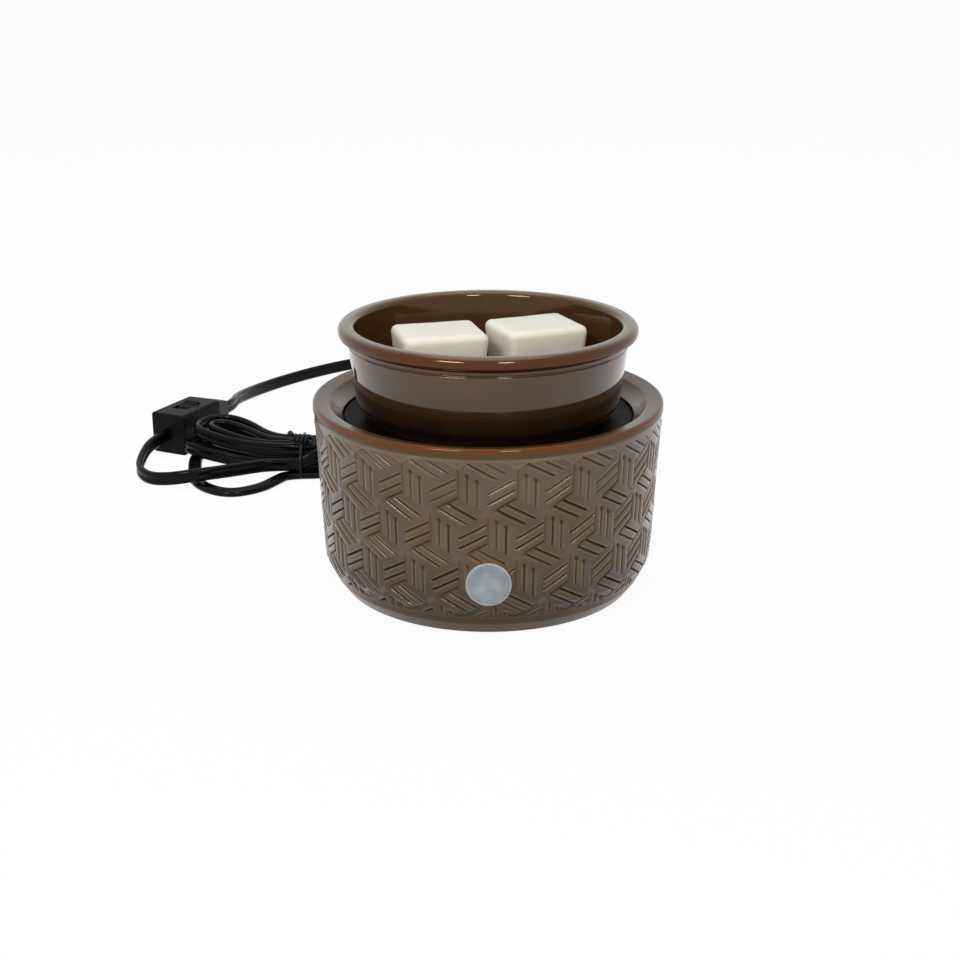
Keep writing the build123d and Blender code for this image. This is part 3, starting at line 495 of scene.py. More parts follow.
# Ceramic base: a turned core and a relief skin of tumbling blocks round it
base = {
    "bottom": 0.8, "top": 66.6, "rimRadius": 60.0, "rimRound": 1.9, "rimFall": 1.2, "topRadius": 59.6,
    "wallTop": 62.0, "lowRadius": 57.2, "chamferTop": 11.65, "bend": 1.6, "bendSink": 0.10,
    "footBandTop": 5.0, "footBandRadius": 53.9, "footRadius": 50.9, "mouth": 54.2, "bore": 50.0,
    "plateTop": 60.5, "ledgeTop": 57.0, "ledgeRadius": 46.0, "ledgeThick": 4.0,
    "cavityHigh": (53.5, 47.0), "cavityLow": (52.0, 12.0), "innerLow": 45.0, "innerTop": 8.4,
    "coverBore": 47.4, "coverTop": 4.4, "segments": 288,
}
relief = {
    "count": 20, "side": 10.22, "tileAcross": 9.0, "tileAlong": 10.4, "shift": -0.6, "shiftRadius": 58.3,
    "rows": range(-1, 4), "firstRow": 54.6, "low": 7.7, "high": 62.9, "skin": 1.3,
    "grooves": (1 / 3, 2 / 3), "grooveDepth": 0.72, "grooveHalf": 0.56, "grooveEnd": 0.955,
    "open": [(0.60, 1.0), (0.40, 0.75), (0.62, 1.0)], "topRowOpen": 0.66,
    "crease": 0.26, "creaseReach": 0.60, "barCrown": 0.24, "bead": 0.36, "beadReach": 1.3,
    "bandLow": 61.2, "paintedHighlight": 1.1, "seam": 0.22, "dotPlace": 0.93, "dotReach": 0.95,
    "samples": [0.0, 0.045, 0.10, 0.19, 0.272, 0.305, 0.333, 0.361, 0.394, 0.5],
    "lensHeight": 20.7, "lensRadius": 7.45, "glandHeight": 22.0, "glandRadius": 8.1,
    "holeSide": 12.0, "holeLevels": (9.7, 40.0), "holeFold": 0.962, "edgeFold": 0.972,
}
topFace, leftFace = 0, 1  # the third face of a block is its right one
glazeLayers = ("groove", "bead", "paintedHighlight", "mauve")


def bodyRadius(z):
    low, corner, bend = base["lowRadius"], base["chamferTop"], base["bend"]
    wall = low + (base["topRadius"] - low) * (z - corner) / (base["wallTop"] - corner)
    foot = low - (low - base["footBandRadius"]) * (corner - z) / (corner - base["footBandTop"])
    if abs(z - corner) > bend:
        return min(wall, foot)
    return foot + (wall - foot) * ease(corner - bend, corner + bend, z) - base["bendSink"]


def coreProfile():
    bottom, top, mouth, bore = base["bottom"], base["top"], base["mouth"], base["bore"]
    low, high, skin = relief["low"], relief["high"], relief["skin"]
    ledge, ledgeTop = base["ledgeRadius"], base["ledgeTop"]
    outside = [
        (base["footRadius"], bottom, 0.6),
        (base["footBandRadius"], base["footBandTop"], 1.0),
        (bodyRadius(low) - 0.60, low - 0.6, 0),
        (bodyRadius(low) - 0.35, low - 0.1, 0),
        (bodyRadius(low + 0.1) - skin, low + 0.1, 0),
        (base["lowRadius"] - skin, base["chamferTop"] + 0.6, 0),
        (bodyRadius(high - 0.1) - skin, high - 0.1, 0),
        (bodyRadius(high), high, 0),
        (base["rimRadius"] - 0.1, high + 1.0, 0.5),
        (base["rimRadius"], top, base["rimRound"]),
    ]
    inside = [
        (mouth, top - base["rimFall"], 1.0), (mouth - 1.9, top - 3.4, 0.8),
        (bore, base["plateTop"] + 0.4, 0.6), (bore, ledgeTop, 0),
        (ledge, ledgeTop, 0.4), (ledge, ledgeTop - base["ledgeThick"], 0),
        (*base["cavityHigh"], 0), (*base["cavityLow"], 0),
        (base["innerLow"], base["innerTop"], 0), (base["innerLow"], base["coverTop"], 0),
        (base["coverBore"], base["coverTop"], 0), (base["coverBore"], bottom, 0.5),
    ]
    profile = roundedProfile(outside + inside)
    return profile + [profile[0]]


def tileDepth(u, v):
    # depth below the body's face but for the grooves, how deep in each groove, and how near a groove's edge,
    # where a painted highlight goes
    acrossTile, alongTile = relief["tileAcross"], relief["tileAlong"]
    edge = min(min(u, 1 - u) * acrossTile, min(v, 1 - v) * acrossTile)
    crease = relief["crease"] * max(0.0, 1 - edge / relief["creaseReach"]) ** 1.3
    bar = (u * 3) % 1.0 if u < 1 else 1.0
    crown = relief["barCrown"] * (2 * bar - 1) ** 2 * ease(0.0, 0.6, edge)
    cuts = []
    # the shoulders beside each groove take a painted highlight
    shoulder = 0.0
    for place in relief["grooves"]:
        away = (u - place) * acrossTile
        past = max(0.0, v - relief["grooveEnd"], 1 - relief["grooveEnd"] - v) * alongTile
        cuts.append(max(0.0, 1 - math.hypot(away, past) / relief["grooveHalf"]))
        if past == 0:
            shoulder = max(shoulder, 1 - abs(abs(away) - 0.55) / 0.6)
    return crease + crown, cuts, shoulder


def grooveStrength(row, index, kind, which):
    # the glaze fills some grooves more than others, most of all in the top row
    low, high = relief["open"][kind]
    scatter = math.sin(12.9898 * (61 * row + 7 * index + 3 * kind + which) + 4.1) * 437.585
    strength = low + (high - low) * (scatter - math.floor(scatter))
    return strength * relief["topRowOpen"] if row == 0 else strength


def tileGrid():
    # a tile's points as shares of its two sides, closer together at its grooves, and the faces between them
    half = relief["samples"]
    stops = half + [1 - stop for stop in reversed(half[:-1])]
    last = len(stops) - 1
    bpy.ops.object.select_all(action="DESELECT")
    bpy.ops.mesh.primitive_grid_add(x_subdivisions=last, y_subdivisions=last, size=2.0)
    tile = bpy.context.object
    spots = []
    for vertex in tile.data.vertices:
        spots.append(tuple(stops[round((part + 1) / 2 * last)] for part in vertex.co.xy))
    quads = [tuple(face.vertices) for face in tile.data.polygons]
    bpy.data.objects.remove(tile)
    return spots, quads


def tileShape(kind, beadEnds, spots):
    # what is the same on every tile of a kind: depth, grooves, and the marks of the glaze, painted shade and
    # painted highlight among them
    acrossTile, alongTile = relief["tileAcross"], relief["tileAlong"]
    shape = []
    for u, v in spots:
        depth, cuts, shoulder = tileDepth(u, v)
        # the edge where one block sits over the next is cut a little deeper and painted as a shadow line
        seam = max(0.0, 1 - abs((u if kind == leftFace else 1 - u) * acrossTile - 0.4) / 0.55)
        seam *= (0.0, 0.45, 0.95 * ease(0.1, 0.5, v))[kind]
        dot = 0.0
        # a dot at the top end of each groove on the left face, cut in and painted as shade
        if kind == leftFace:
            rise = (v - relief["dotPlace"]) * alongTile
            away = min(math.hypot((u - place) * acrossTile, rise) for place in relief["grooves"])
            dot = min(1.0, 1.5 * max(0.0, 1 - away / relief["dotReach"]))
        away = min(math.hypot((u - a) * acrossTile, (v - b) * acrossTile) for a, b in beadEnds)
        bead = max(0.0, 1 - (away / relief["beadReach"]) ** 2)
        mauve = max(0.7 if kind == leftFace else 0.0, 0.9 * (1 - away / 5.0))
        depth = depth + relief["seam"] * seam - relief["bead"] * bead
        shape.append((depth, cuts, seam, dot, bead, mauve, shoulder))
    return shape


def placedMarks(row, kind, spot, z, strengths, marks):
    # a point's depth and glaze, with its painted shade and painted highlight, where its tile lies: both fade
    # out at the band and at the foot
    u, v = spot
    depth, cuts, seam, dot, bead, mauve, shoulder = marks
    # each groove is cut in and painted as shade
    groove = max(cut * strength for cut, strength in zip(cuts, strengths))
    groove = max(groove, dot * (0.55 + 0.4 * strengths[0]))
    keep = 0.0 if row < 0 else 1 - ease(relief["bandLow"], relief["bandLow"] + 0.9, z)
    keep *= ease(relief["low"] + 0.2, relief["low"] + 1.6, z)
    # a painted highlight along the band's scalloped lower edge
    away = abs(z - relief["bandLow"] - 1.2)
    if row < 0:
        edge = (v if kind == leftFace else 1 - u) * relief["tileAcross"]
        away = relief["tileAcross"] if kind == topFace else min(away, edge)
    paintedHighlight = max(0.0, 1 - away / relief["paintedHighlight"]) if row < 1 else 0.0
    return (depth + relief["grooveDepth"] * groove) * keep, {
        "groove": max(groove, seam) * keep,
        "bead": bead * keep,
        "paintedHighlight": max(paintedHighlight, 0.45 * shoulder * keep),
        "mauve": max(mauve * keep, 0.8 * ease(46.0, 57.0, z)) * (1 - ease(61.0, 62.4, z)),
    }


def reliefSkin():
    # one tile's grid, copied over the three faces of each block
    spots, quads = tileGrid()
    side = relief["side"]
    width = 2 * math.pi / relief["count"]
    middle, top, bottom = (0, 0), (0, side), (0, -side)
    upperLeft, lowerLeft, upperRight = (-width / 2, side / 2), (-width / 2, -side / 2), (width / 2, side / 2)
    blockFaces = [(upperLeft, middle, top), (lowerLeft, upperLeft, bottom), (middle, upperRight, bottom)]
    beadEnds = [((0, 0), (1, 1)), ((0, 1), (1, 0)), ((0, 1), (1, 0))]
    shapes = [tileShape(kind, ends, spots) for kind, ends in enumerate(beadEnds)]
    shift = relief["shift"] / relief["shiftRadius"]
    verts, faces = [], []
    layers = {name: [] for name in glazeLayers}
    for row in relief["rows"]:
        level = relief["firstRow"] - 1.5 * side * row
        for index in range(relief["count"]):
            turn = width * (index + (0.5 if row % 2 else 0.0)) + shift - math.pi / 2
            for kind, ((start, along, across), shape) in enumerate(zip(blockFaces, shapes)):
                heights = [level + end[1] for end in (start, along, across)]
                if min(heights) - side > relief["high"] or max(heights) + side < relief["low"]:
                    continue
                first = len(verts)
                strengths = [grooveStrength(row, index, kind, which) for which in (0, 1)]
                for (u, v), marks in zip(spots, shape):
                    angle = turn + start[0] + u * (across[0] - start[0]) + v * (along[0] - start[0])
                    z = level + start[1] + u * (across[1] - start[1]) + v * (along[1] - start[1])
                    depth, values = placedMarks(row, kind, (u, v), z, strengths, marks)
                    radius = bodyRadius(z) - depth
                    verts.append((radius * math.cos(angle) * mm, radius * math.sin(angle) * mm, z * mm))
                    for name, value in values.items():
                        layers[name].append(value)
                faces += [tuple(first + i for i in quad) for quad in quads]
    skin = newPiece("reliefSkin", verts, faces)
    for name, values in layers.items():
        skin.data.attributes.new(name, "FLOAT", "POINT").data.foreach_set("value", values)
    return skin


def openEdges(mesh):
    # edges with a face on one side only
    uses = {}
    for face in mesh.polygons:
        for key in face.edge_keys:
            uses[key] = uses.get(key, 0) + 1
    return {key for key, count in uses.items() if count == 1}


def pickNothing(skin, kind):
    editAll(skin)
    bpy.ops.mesh.select_mode(type=kind)
    bpy.ops.mesh.select_all(action="DESELECT")
    leaveEdit()


def cutHole(skin, facing, height, radius):
    # faces inside the circle go, and the vertices beside it move onto it
    pickNothing(skin, "FACE")
    for face in skin.data.polygons:
        place = face.center / mm
        face.select = place.y * facing > 0 and math.hypot(place.x, place.z - height) < radius
    bpy.ops.object.mode_set(mode="EDIT")
    bpy.ops.mesh.delete(type="FACE")
    leaveEdit()
    for index in {end for key in openEdges(skin.data) for end in key}:
        vertex = skin.data.vertices[index]
        x, z = vertex.co.x / mm, vertex.co.z / mm - height
        away = math.hypot(x, z)
        if vertex.co.y * facing > 0 and away < radius + 2:
            share = radius / away
            y = facing * math.sqrt((bodyRadius(height + z * share) - 0.1) ** 2 - (x * share) ** 2)
            vertex.co = (x * share * mm, y * mm, (height + z * share) * mm)


def turnIn(skin, level, below):
    # trims the skin at a level and folds its edge in behind the core's face
    editAll(skin)
    bpy.ops.mesh.select_mode(type="EDGE")
    bpy.ops.mesh.bisect(
        plane_co=(0, 0, level * mm), plane_no=(0, 0, 1), clear_inner=below, clear_outer=not below,
        threshold=0.01 * mm,
    )
    bpy.ops.mesh.extrude_region_move(TRANSFORM_OT_translate={"value": (0, 0, 0)})
    fold = relief["edgeFold"]
    bpy.ops.transform.resize(value=(fold, fold, 1), center_override=(0, 0, level * mm))
    leaveEdit()


def foldHoles(skin):
    # the open rims of the holes go back into the wall
    pickNothing(skin, "EDGE")
    rims = openEdges(skin.data)
    low, high = relief["holeLevels"]
    for edge in skin.data.edges:
        place = skin.data.vertices[edge.vertices[0]].co / mm
        if edge.key in rims and abs(place.x) < relief["holeSide"] and low < place.z < high:
            edge.select = True
    bpy.ops.object.mode_set(mode="EDIT")
    bpy.ops.mesh.extrude_region_move(TRANSFORM_OT_translate={"value": (0, 0, 0)})
    bpy.ops.transform.resize(value=(1, relief["holeFold"], 1), center_override=(0, 0, 0))
    leaveEdit()


def glazedBase():
    core = turnedPiece("glazedBase", coreProfile(), base["segments"])
    for name in glazeLayers:
        core.data.attributes.new(name, "FLOAT", "POINT")
    skin = reliefSkin()
    editAll(skin)
    bpy.ops.mesh.remove_doubles(threshold=0.02 * mm)
    leaveEdit()
    turnIn(skin, relief["low"], True)
    turnIn(skin, relief["high"], False)
    cutHole(skin, -1, relief["lensHeight"], relief["lensRadius"])
    cutHole(skin, 1, relief["glandHeight"], relief["glandRadius"])
    foldHoles(skin)
    editAll(skin)
    bpy.ops.mesh.normals_make_consistent(inside=False)
    leaveEdit()
    bpy.ops.object.shade_smooth_by_angle(angle=math.radians(50))
    core.select_set(True)
    bpy.context.view_layer.objects.active = core
    bpy.ops.object.join()
    return core


def thinGlaze(edges):
    # where the glaze runs thin: (radius, height, reach) of each rounded edge
    def rule(x, y, z):
        r = math.hypot(x, y)
        return max(1 - ease(0.0, 1.0, math.hypot(r - a, z - b) / reach) for a, b, reach in edges)
    return rule


def brownGlaze(name, look):
    finish = Finish(name)
    cloud = finish.noise(55.0, 4.0, distortion=0.6)
    fine = finish.noise(420.0, 3.0)
    streak = finish.noise(90.0, 3.0, stretch=(1.0, 1.0, 0.35))
    thin, groove, paintedShade = finish.attribute("thin"), finish.attribute("groove"), finish.attribute("paintedShade")
    colour = finish.mix((1.6 * cloud + 0.5 * streak - 0.55).clamped(), look["body"], look["pale"])
    colour = finish.mix((finish.attribute("mauve") * (0.3 + 0.9 * cloud)).clamped(), colour, look["mauve"])
    # pooled glaze in the base's band, and a painted reflection on the rim tops of base and dish
    colour = finish.mix((finish.attribute("poolAndReflection") * (0.5 + 0.7 * streak)).clamped(), colour, look["poolAndReflection"])
    # painted shade: darker towards the foot of the base and on the lower outer wall of the dish
    colour = finish.mix((paintedShade * (0.6 + 0.5 * cloud)).clamped(), colour, look["paintedShade"])
    # painted highlight along the band's edge and on the groove shoulders
    colour = finish.mix((finish.attribute("paintedHighlight") * (0.4 + 0.9 * streak)).clamped(), colour, look["paintedHighlight"])
    colour = finish.mix((finish.attribute("bead") * 0.75).clamped(), colour, look["bead"])
    colour = finish.mix((groove * (1 - groove) * (1.2 + 2.0 * fine)).clamped(), colour, look["fringe"])
    # painted shade in the grooves, along the block seams and in a line under the base's rim
    colour = finish.mix((groove ** 1.6 * (0.9 + 0.5 * fine)).clamped(), colour, look["groove"])
    colour = finish.mix((thin * (0.7 + 0.6 * cloud)).clamped(), colour, look["thin"])
    speck = ((fine - 0.66) * 8.0).clamped()
    colour = finish.mix(speck * 0.4, colour, look["groove"])
    rough = (look["rough"] + look["uneven"] * cloud + 0.6 * groove) * (1 - 0.75 * thin)
    finish.set(
        colour=colour, rough=rough, specular=look["specular"], sheen=look["sheen"],
        coat=(look["coat"] * finish.attribute("wall") * (1 - 2.5 * groove).clamped()).clamped(),
        coatRough=look["coatRough"],
        normal=finish.bump(cloud * 0.7 + fine * 0.3, 0.0003, look["bump"]),
    )
    return finish


# the two darkest tints are painted shade, low on the walls and in the grooves; the lightest is a painted
# highlight along the band's edge and the groove shoulders; the olive tint on the rim tops is a painted
# reflection
reliefLook = {
    "body": tint(57, 41, 22), "pale": tint(82, 64, 39), "mauve": tint(78, 67, 58), "poolAndReflection": tint(54, 46, 28),
    "paintedShade": tint(33, 21, 10), "paintedHighlight": tint(108, 91, 66), "bead": tint(98, 60, 48), "fringe": tint(92, 62, 36),
    "groove": tint(30, 13, 4), "thin": tint(92, 45, 12), "rough": 0.17, "uneven": 0.14, "specular": 0.28,
    "sheen": (1.0, 0.77, 0.56, 1.0), "coat": 0.60, "coatRough": 0.20, "bump": 0.2,
}
# Heights or radii between which the glaze changes, and its painted shade and painted reflection with it
baseGlaze = {
    "thin": [(59.7, 65.85, 1.2), (54.6, 65.1, 0.6)],  # radius, height and reach of each edge
    "poolStart": (61.2, 62.6), "poolEnd": (64.0, 65.6), "rimPool": (65.2, 65.8), "rimPoolEnd": (58.4, 59.4),
    "paintedShade": (8.0, 34.0), "footLight": (5.0, 9.0), "coatStart": (8.0, 13.0), "coatEnd": (62.5, 64.5),
    "footRing": 0.7, "underRim": 64.65, "underRimReach": 0.9, "underRimFrom": 59.2,
}


def paintBase(piece):
    g = baseGlaze

    def poolAndReflection(x, y, z):
        # in the band below the rim, and on the rim's top, where the tint is a painted reflection
        band = ease(*g["poolStart"], z) * (1 - ease(*g["poolEnd"], z))
        return max(band, ease(*g["rimPool"], z) * (1 - ease(*g["rimPoolEnd"], math.hypot(x, y))))

    paint(piece, "thin", thinGlaze(g["thin"]))
    paint(piece, "poolAndReflection", poolAndReflection)
    # painted shade, strongest just above the foot band, fading out by the middle of the body and weaker on
    # the foot band
    paint(piece, "paintedShade", lambda x, y, z: (1 - ease(*g["paintedShade"], z)) * (0.3 + 0.7 * ease(*g["footLight"], z)))
    paint(piece, "wall", lambda x, y, z: ease(*g["coatStart"], z) * (1 - ease(*g["coatEnd"], z)))
    rings = piece.data.attributes["bead"].data
    shades = piece.data.attributes["groove"].data
    for vertex, ring, shade in zip(piece.data.vertices, rings, shades):
        z = vertex.co.z / mm
        ring.value = max(ring.value, 0.9 - abs(z - relief["low"]) / g["footRing"])
        # a painted shade line under the rim's roll
        if vertex.co.xy.length / mm > g["underRimFrom"]:
            shade.value = max(shade.value, 0.8 * (1 - abs(z - g["underRim"]) / g["underRimReach"]))


ceramic = glazedBase()
paintBase(ceramic)
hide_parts("ceramic_base")
dress(ceramic, brownGlaze("reliefGlaze", reliefLook))
print("base glazed", len(ceramic.data.polygons))

# Dish
dishShape = {
    "bottom": 60.5, "top": 92.4, "foot": 41.0, "shoulder": 45.0, "shoulderTop": 65.5, "neck": 47.4,
    "rim": 50.7, "rimHeight": 4.2, "rimRound": 2.05, "drop": 2.2, "wall": 3.0, "floor": 4.0, "segments": 288,
    "lowDisc": 30.0, "highDisc": 28.0,
    "ridge": [(0, -0.7, 0.3), (-0.45, -0.2, 0.15), (0.15, 0.3, 0.2), (0.25, 1.2, 0.2), (-0.2, 1.7, 0.15)],
}
dishGlaze = {
    "thin": (49.0, 50.0), "thinEnd": (91.6, 92.3), "poolAndReflection": (91.2, 92.2), "poolFrom": (44.6, 45.6),
    "outside": (43.2, 43.6), "slope": 0.117, "coatEnd": (87.4, 88.2), "paintedShade": (70.0, 84.0),
}


def glazedDish():
    d = dishShape
    rimLow = d["top"] - d["rimHeight"]
    neck = rimLow - d["drop"]
    slope = (d["neck"] - d["shoulder"]) / (neck - d["shoulderTop"])
    floor = d["bottom"] + d["floor"]
    innerFloor = d["shoulder"] - d["wall"] + slope * (floor - d["shoulderTop"])
    innerTop = d["neck"] - d["wall"] + slope * (d["top"] - neck)
    corners = [
        (d["lowDisc"], d["bottom"], 0), (d["foot"], d["bottom"], 0.8), (d["shoulder"], d["shoulderTop"], 4.2),
    ]
    corners += [(d["neck"] + out, neck + up, rounding) for out, up, rounding in d["ridge"]]
    corners += [
        (d["neck"] + 0.2, rimLow, 0), (d["rim"], rimLow, d["rimRound"]), (d["rim"], d["top"], d["rimRound"]),
        (innerTop, d["top"], d["rimRound"]), (innerFloor, floor, 3.0), (d["highDisc"], floor, 0),
    ]
    return turnedPiece("glazedDish", roundedProfile(corners, 8), d["segments"], pole=True)


def paintDish(piece):
    g = dishGlaze

    def outside(x, y, z):
        return ease(*g["outside"], math.hypot(x, y) - g["slope"] * (z - dishShape["shoulderTop"]))

    def thin(x, y, z):
        return ease(*g["thin"], math.hypot(x, y)) * (1 - 0.7 * ease(*g["thinEnd"], z))

    paint(piece, "thin", thin)
    # painted reflection on the rim's top
    paint(piece, "poolAndReflection", lambda x, y, z: ease(*g["poolAndReflection"], z) * ease(*g["poolFrom"], math.hypot(x, y)))
    paint(piece, "wall", lambda x, y, z: outside(x, y, z) * (1 - ease(*g["coatEnd"], z)))
    # painted shade on the lower outer wall, fading out towards the rim
    paint(piece, "paintedShade", lambda x, y, z: outside(x, y, z) * (1 - ease(*g["paintedShade"], z)))
    for name in glazeLayers:
        piece.data.attributes.new(name, "FLOAT", "POINT")


dish = glazedDish()
paintDish(dish)
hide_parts("wax_dish")
# on the dish the darkest tint is painted shade on the lower outer wall, and the pool tint a painted
# reflection on the rim's top
dishLook = dict(
    reliefLook, body=tint(54, 33, 15), pale=tint(72, 47, 23), poolAndReflection=tint(78, 66, 43), thin=tint(66, 28, 10),
    paintedShade=tint(22, 12, 6), rough=0.05, uneven=0.02, specular=0.45, sheen=(1.0, 0.72, 0.48, 1.0),
    coat=0.68, coatRough=0.03, bump=0.03,
)
dress(dish, brownGlaze("dishGlaze", dishLook), "dish")
print("dish turned", len(dish.data.polygons))

# Wax cubes
waxShape = {
    "width": 30.0, "depth": 25.0, "height": 23.5, "draft": 2.0, "floor": 64.5, "round": 2.6, "roundSteps": 5,
    "cuts": 3, "sink": 0.5, "sinkFrom": 0.46, "sinkReach": 0.22,
}
waxPlaces = [
    ("waxLeft", "wax_cube_left", "wax_left", (-16.7, 6.2), 15.0),
    ("waxRight", "wax_cube_right", "wax_right", (16.7, 16.0), 23.0),
]


def waxFinish():
    finish = Finish("creamWax")
    cloud = finish.noise(70.0, 4.0)
    fine = finish.noise(700.0, 2.0)
    finish.set(
        colour=finish.mix(cloud, tint(208, 205, 190), tint(219, 217, 206)), rough=0.42 + 0.15 * cloud,
        normal=finish.bump(cloud * 0.8 + fine * 0.2, 0.0004, 0.4), sub=0.8, subScale=0.009,
        subRadius=(1.0, 0.85, 0.5), specular=0.4,
    )
    return finish


def waxCube(name, place, turn):
    w = waxShape
    bpy.ops.object.select_all(action="DESELECT")
    bpy.ops.mesh.primitive_cube_add(size=1.0, location=(0, 0, 0))
    cube = bpy.context.object
    cube.name = name
    editAll(cube)
    bpy.ops.transform.resize(value=(w["width"] * mm, w["depth"] * mm, w["height"] * mm))
    leaveEdit()
    for vertex in cube.data.vertices:
        if vertex.co.z < 0:
            vertex.co.x *= 1 - 2 * w["draft"] / w["width"]
            vertex.co.y *= 1 - 2 * w["draft"] / w["depth"]
    editAll(cube)
    bpy.ops.mesh.bevel(offset=w["round"] * mm, segments=w["roundSteps"], profile=0.5, affect="EDGES")
    bpy.ops.mesh.select_all(action="SELECT")
    bpy.ops.mesh.subdivide(number_cuts=w["cuts"])
    leaveEdit()
    # the top sinks a little as wax does when it sets
    for vertex in cube.data.vertices:
        if vertex.co.z > w["sinkFrom"] * w["height"] * mm:
            across = (vertex.co.x / (w["width"] * mm)) ** 2 + (vertex.co.y / (w["depth"] * mm)) ** 2
            vertex.co.z -= w["sink"] * mm * max(0.0, 1 - across / w["sinkReach"])
    cube.rotation_euler = (0, 0, math.radians(turn))
    cube.location = (place[0] * mm, place[1] * mm, (w["floor"] + w["height"] / 2) * mm)
    only(cube)
    bpy.ops.object.transform_apply(location=True, rotation=True, scale=True)
    outward(cube)
    return cube


wax = waxFinish()
for name, node, body, place, turn in waxPlaces:
    cube = waxCube(name, place, turn)
    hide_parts(node)
    dress(cube, wax, body)
print("wax set")


# Finishes of the pieces that keep their solids
def speckled(name, low, high, rough, scale, bumpScale, bumpDepth, metal=0.0, specular=0.5):
    finish = Finish(name)
    cloud = finish.noise(scale, 3.0)
    grain = finish.noise(bumpScale, 2.0)
    finish.set(
        colour=finish.mix(cloud, low, high), rough=rough + 0.14 * (cloud - 0.5), metal=metal,
        normal=finish.bump(grain, bumpDepth, 0.5), specular=specular,
    )
    return finish


# two tints, roughness, scale of the clouds, scale and depth of the grain
finishes = {
    "plate_black": speckled(
        "plateCoating", tint(4, 4, 4), tint(9, 9, 9), 0.46, 120.0, 1600.0, 0.00006, specular=0.03),
    "silicone": speckled("silicone", tint(150, 150, 146), tint(172, 172, 168), 0.65, 80.0, 900.0, 0.00004),
    "heater": speckled("mica", tint(150, 132, 100), tint(188, 172, 138), 0.6, 300.0, 900.0, 0.00008),
    "steel": speckled(
        "zincSteel", tint(150, 151, 153), tint(186, 187, 190), 0.36, 200.0, 1200.0, 0.00003, metal=1.0),
    "brass": speckled(
        "brass", tint(168, 132, 68), tint(204, 168, 96), 0.33, 200.0, 1200.0, 0.00003, metal=1.0),
    "cover_plastic": speckled(
        "coverPlastic", tint(30, 30, 31), tint(44, 44, 45), 0.55, 150.0, 1500.0, 0.00010),
    "foot_rubber": speckled("footRubber", tint(26, 26, 26), tint(40, 40, 40), 0.75, 100.0, 1100.0, 0.00008),
    "lamp": speckled("lampGlass", tint(208, 196, 176), tint(226, 216, 200), 0.12, 60.0, 400.0, 0.00002),
    "cord_black": vinyl,
    "switch_black": speckled(
        "switchPlastic", tint(8, 8, 8), tint(15, 15, 15), 0.48, 130.0, 1700.0, 0.00007, specular=0.08),
    "wire_white": speckled(
        "wireSleeve", tint(205, 204, 198), tint(228, 227, 222), 0.6, 300.0, 900.0, 0.00006),
    "tie_black": speckled(
        "tieCoating", tint(10, 10, 10), tint(20, 20, 20), 0.30, 300.0, 900.0, 0.00004, specular=0.2),
    "blade_metal": speckled(
        "platedBlade", tint(186, 178, 156), tint(214, 208, 188), 0.28, 200.0, 1500.0, 0.00002, metal=1.0),
}
slotOf = {part["node"]: part["material_slot"] for part in frame["record"]["subparts"]}
for name, piece in nodes.items():
    if slotOf[name] in finishes:
        piece.data.materials.clear()
        piece.data.materials.append(finishes[slotOf[name]].material)
print("solids finished")

# Indicator lens
lens = {
    "height": relief["lensHeight"], "radius": 7.35, "seat": 56.73, "edge": 1.4, "dome": 1.2, "segments": 96,
    "disc": 3.0, "domeSteps": 20, "bevel": 0.25, "rimInset": 0.5, "ringInset": 1.95, "ringReach": 3.2,
}


def lensFinish():
    finish = Finish("lensPlastic")
    cloud = finish.noise(230.0, 3.0)
    rim = finish.attribute("rim")
    ring = finish.attribute("ring")
    colour = finish.mix((2.4 * cloud - 0.7).clamped(), tint(112, 119, 127), tint(146, 151, 157))
    colour = finish.mix(ring * 0.55, colour, tint(98, 104, 112))
    finish.set(
        colour=finish.mix(rim, colour, tint(150, 152, 155)), rough=0.22 + 0.14 * cloud,
        sub=0.25, subScale=0.002, subRadius=(0.8, 0.9, 1.0), coat=0.4, coatRough=0.08,
    )
    return finish


def tipOver(piece, degrees, height):
    # a turned piece is laid on its side at its height
    only(piece)
    piece.rotation_euler = (math.radians(degrees), 0, 0)
    piece.location = (0, 0, height * mm)
    bpy.ops.object.transform_apply(location=True, rotation=True, scale=True)


def indicatorLens():
    outer, seat, bevel, dome = lens["radius"], lens["seat"], lens["bevel"], lens["dome"]
    edge = seat + lens["edge"]
    ball = (outer ** 2 + dome ** 2) / (2 * dome)
    profile = [
        (lens["disc"], seat), (outer, seat), (outer, edge - bevel), (outer - 0.08, edge - 0.06),
        (outer - bevel, edge + 0.02),
    ]
    for step in range(1, lens["domeSteps"]):
        r = (outer - bevel) * (1 - step / lens["domeSteps"])
        profile.append((r, edge + dome - ball + math.sqrt(ball * ball - r * r)))
    piece = turnedPiece("indicatorLens", profile, lens["segments"], pole=True)

    def shadedRing(x, y, z):
        # a darker ring inside the edge, stronger in its upper half
        r = math.hypot(x, y)
        ring = 1 - ease(0.0, lens["ringReach"], abs(r - outer + lens["ringInset"]))
        return ring * (0.72 + 0.28 * y / max(r, 0.1))

    paint(piece, "rim", lambda x, y, z: ease(outer - lens["rimInset"], outer - bevel, math.hypot(x, y)))
    paint(piece, "ring", shadedRing)
    tipOver(piece, 90, lens["height"])
    return piece


lensPiece = indicatorLens()
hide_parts("indicator_lens")
dress(lensPiece, lensFinish())
print("lens set")

# Strain relief: a ribbed sleeve where the lead leaves the base
gland = {
    "height": relief["glandHeight"], "seat": 56.79, "flange": 8.0, "flangeThick": 2.0, "root": 6.2,
    "tip": 4.2, "length": 24.0, "ribs": 7, "ribDepth": 0.9, "segments": 72, "disc": 3.0,
}


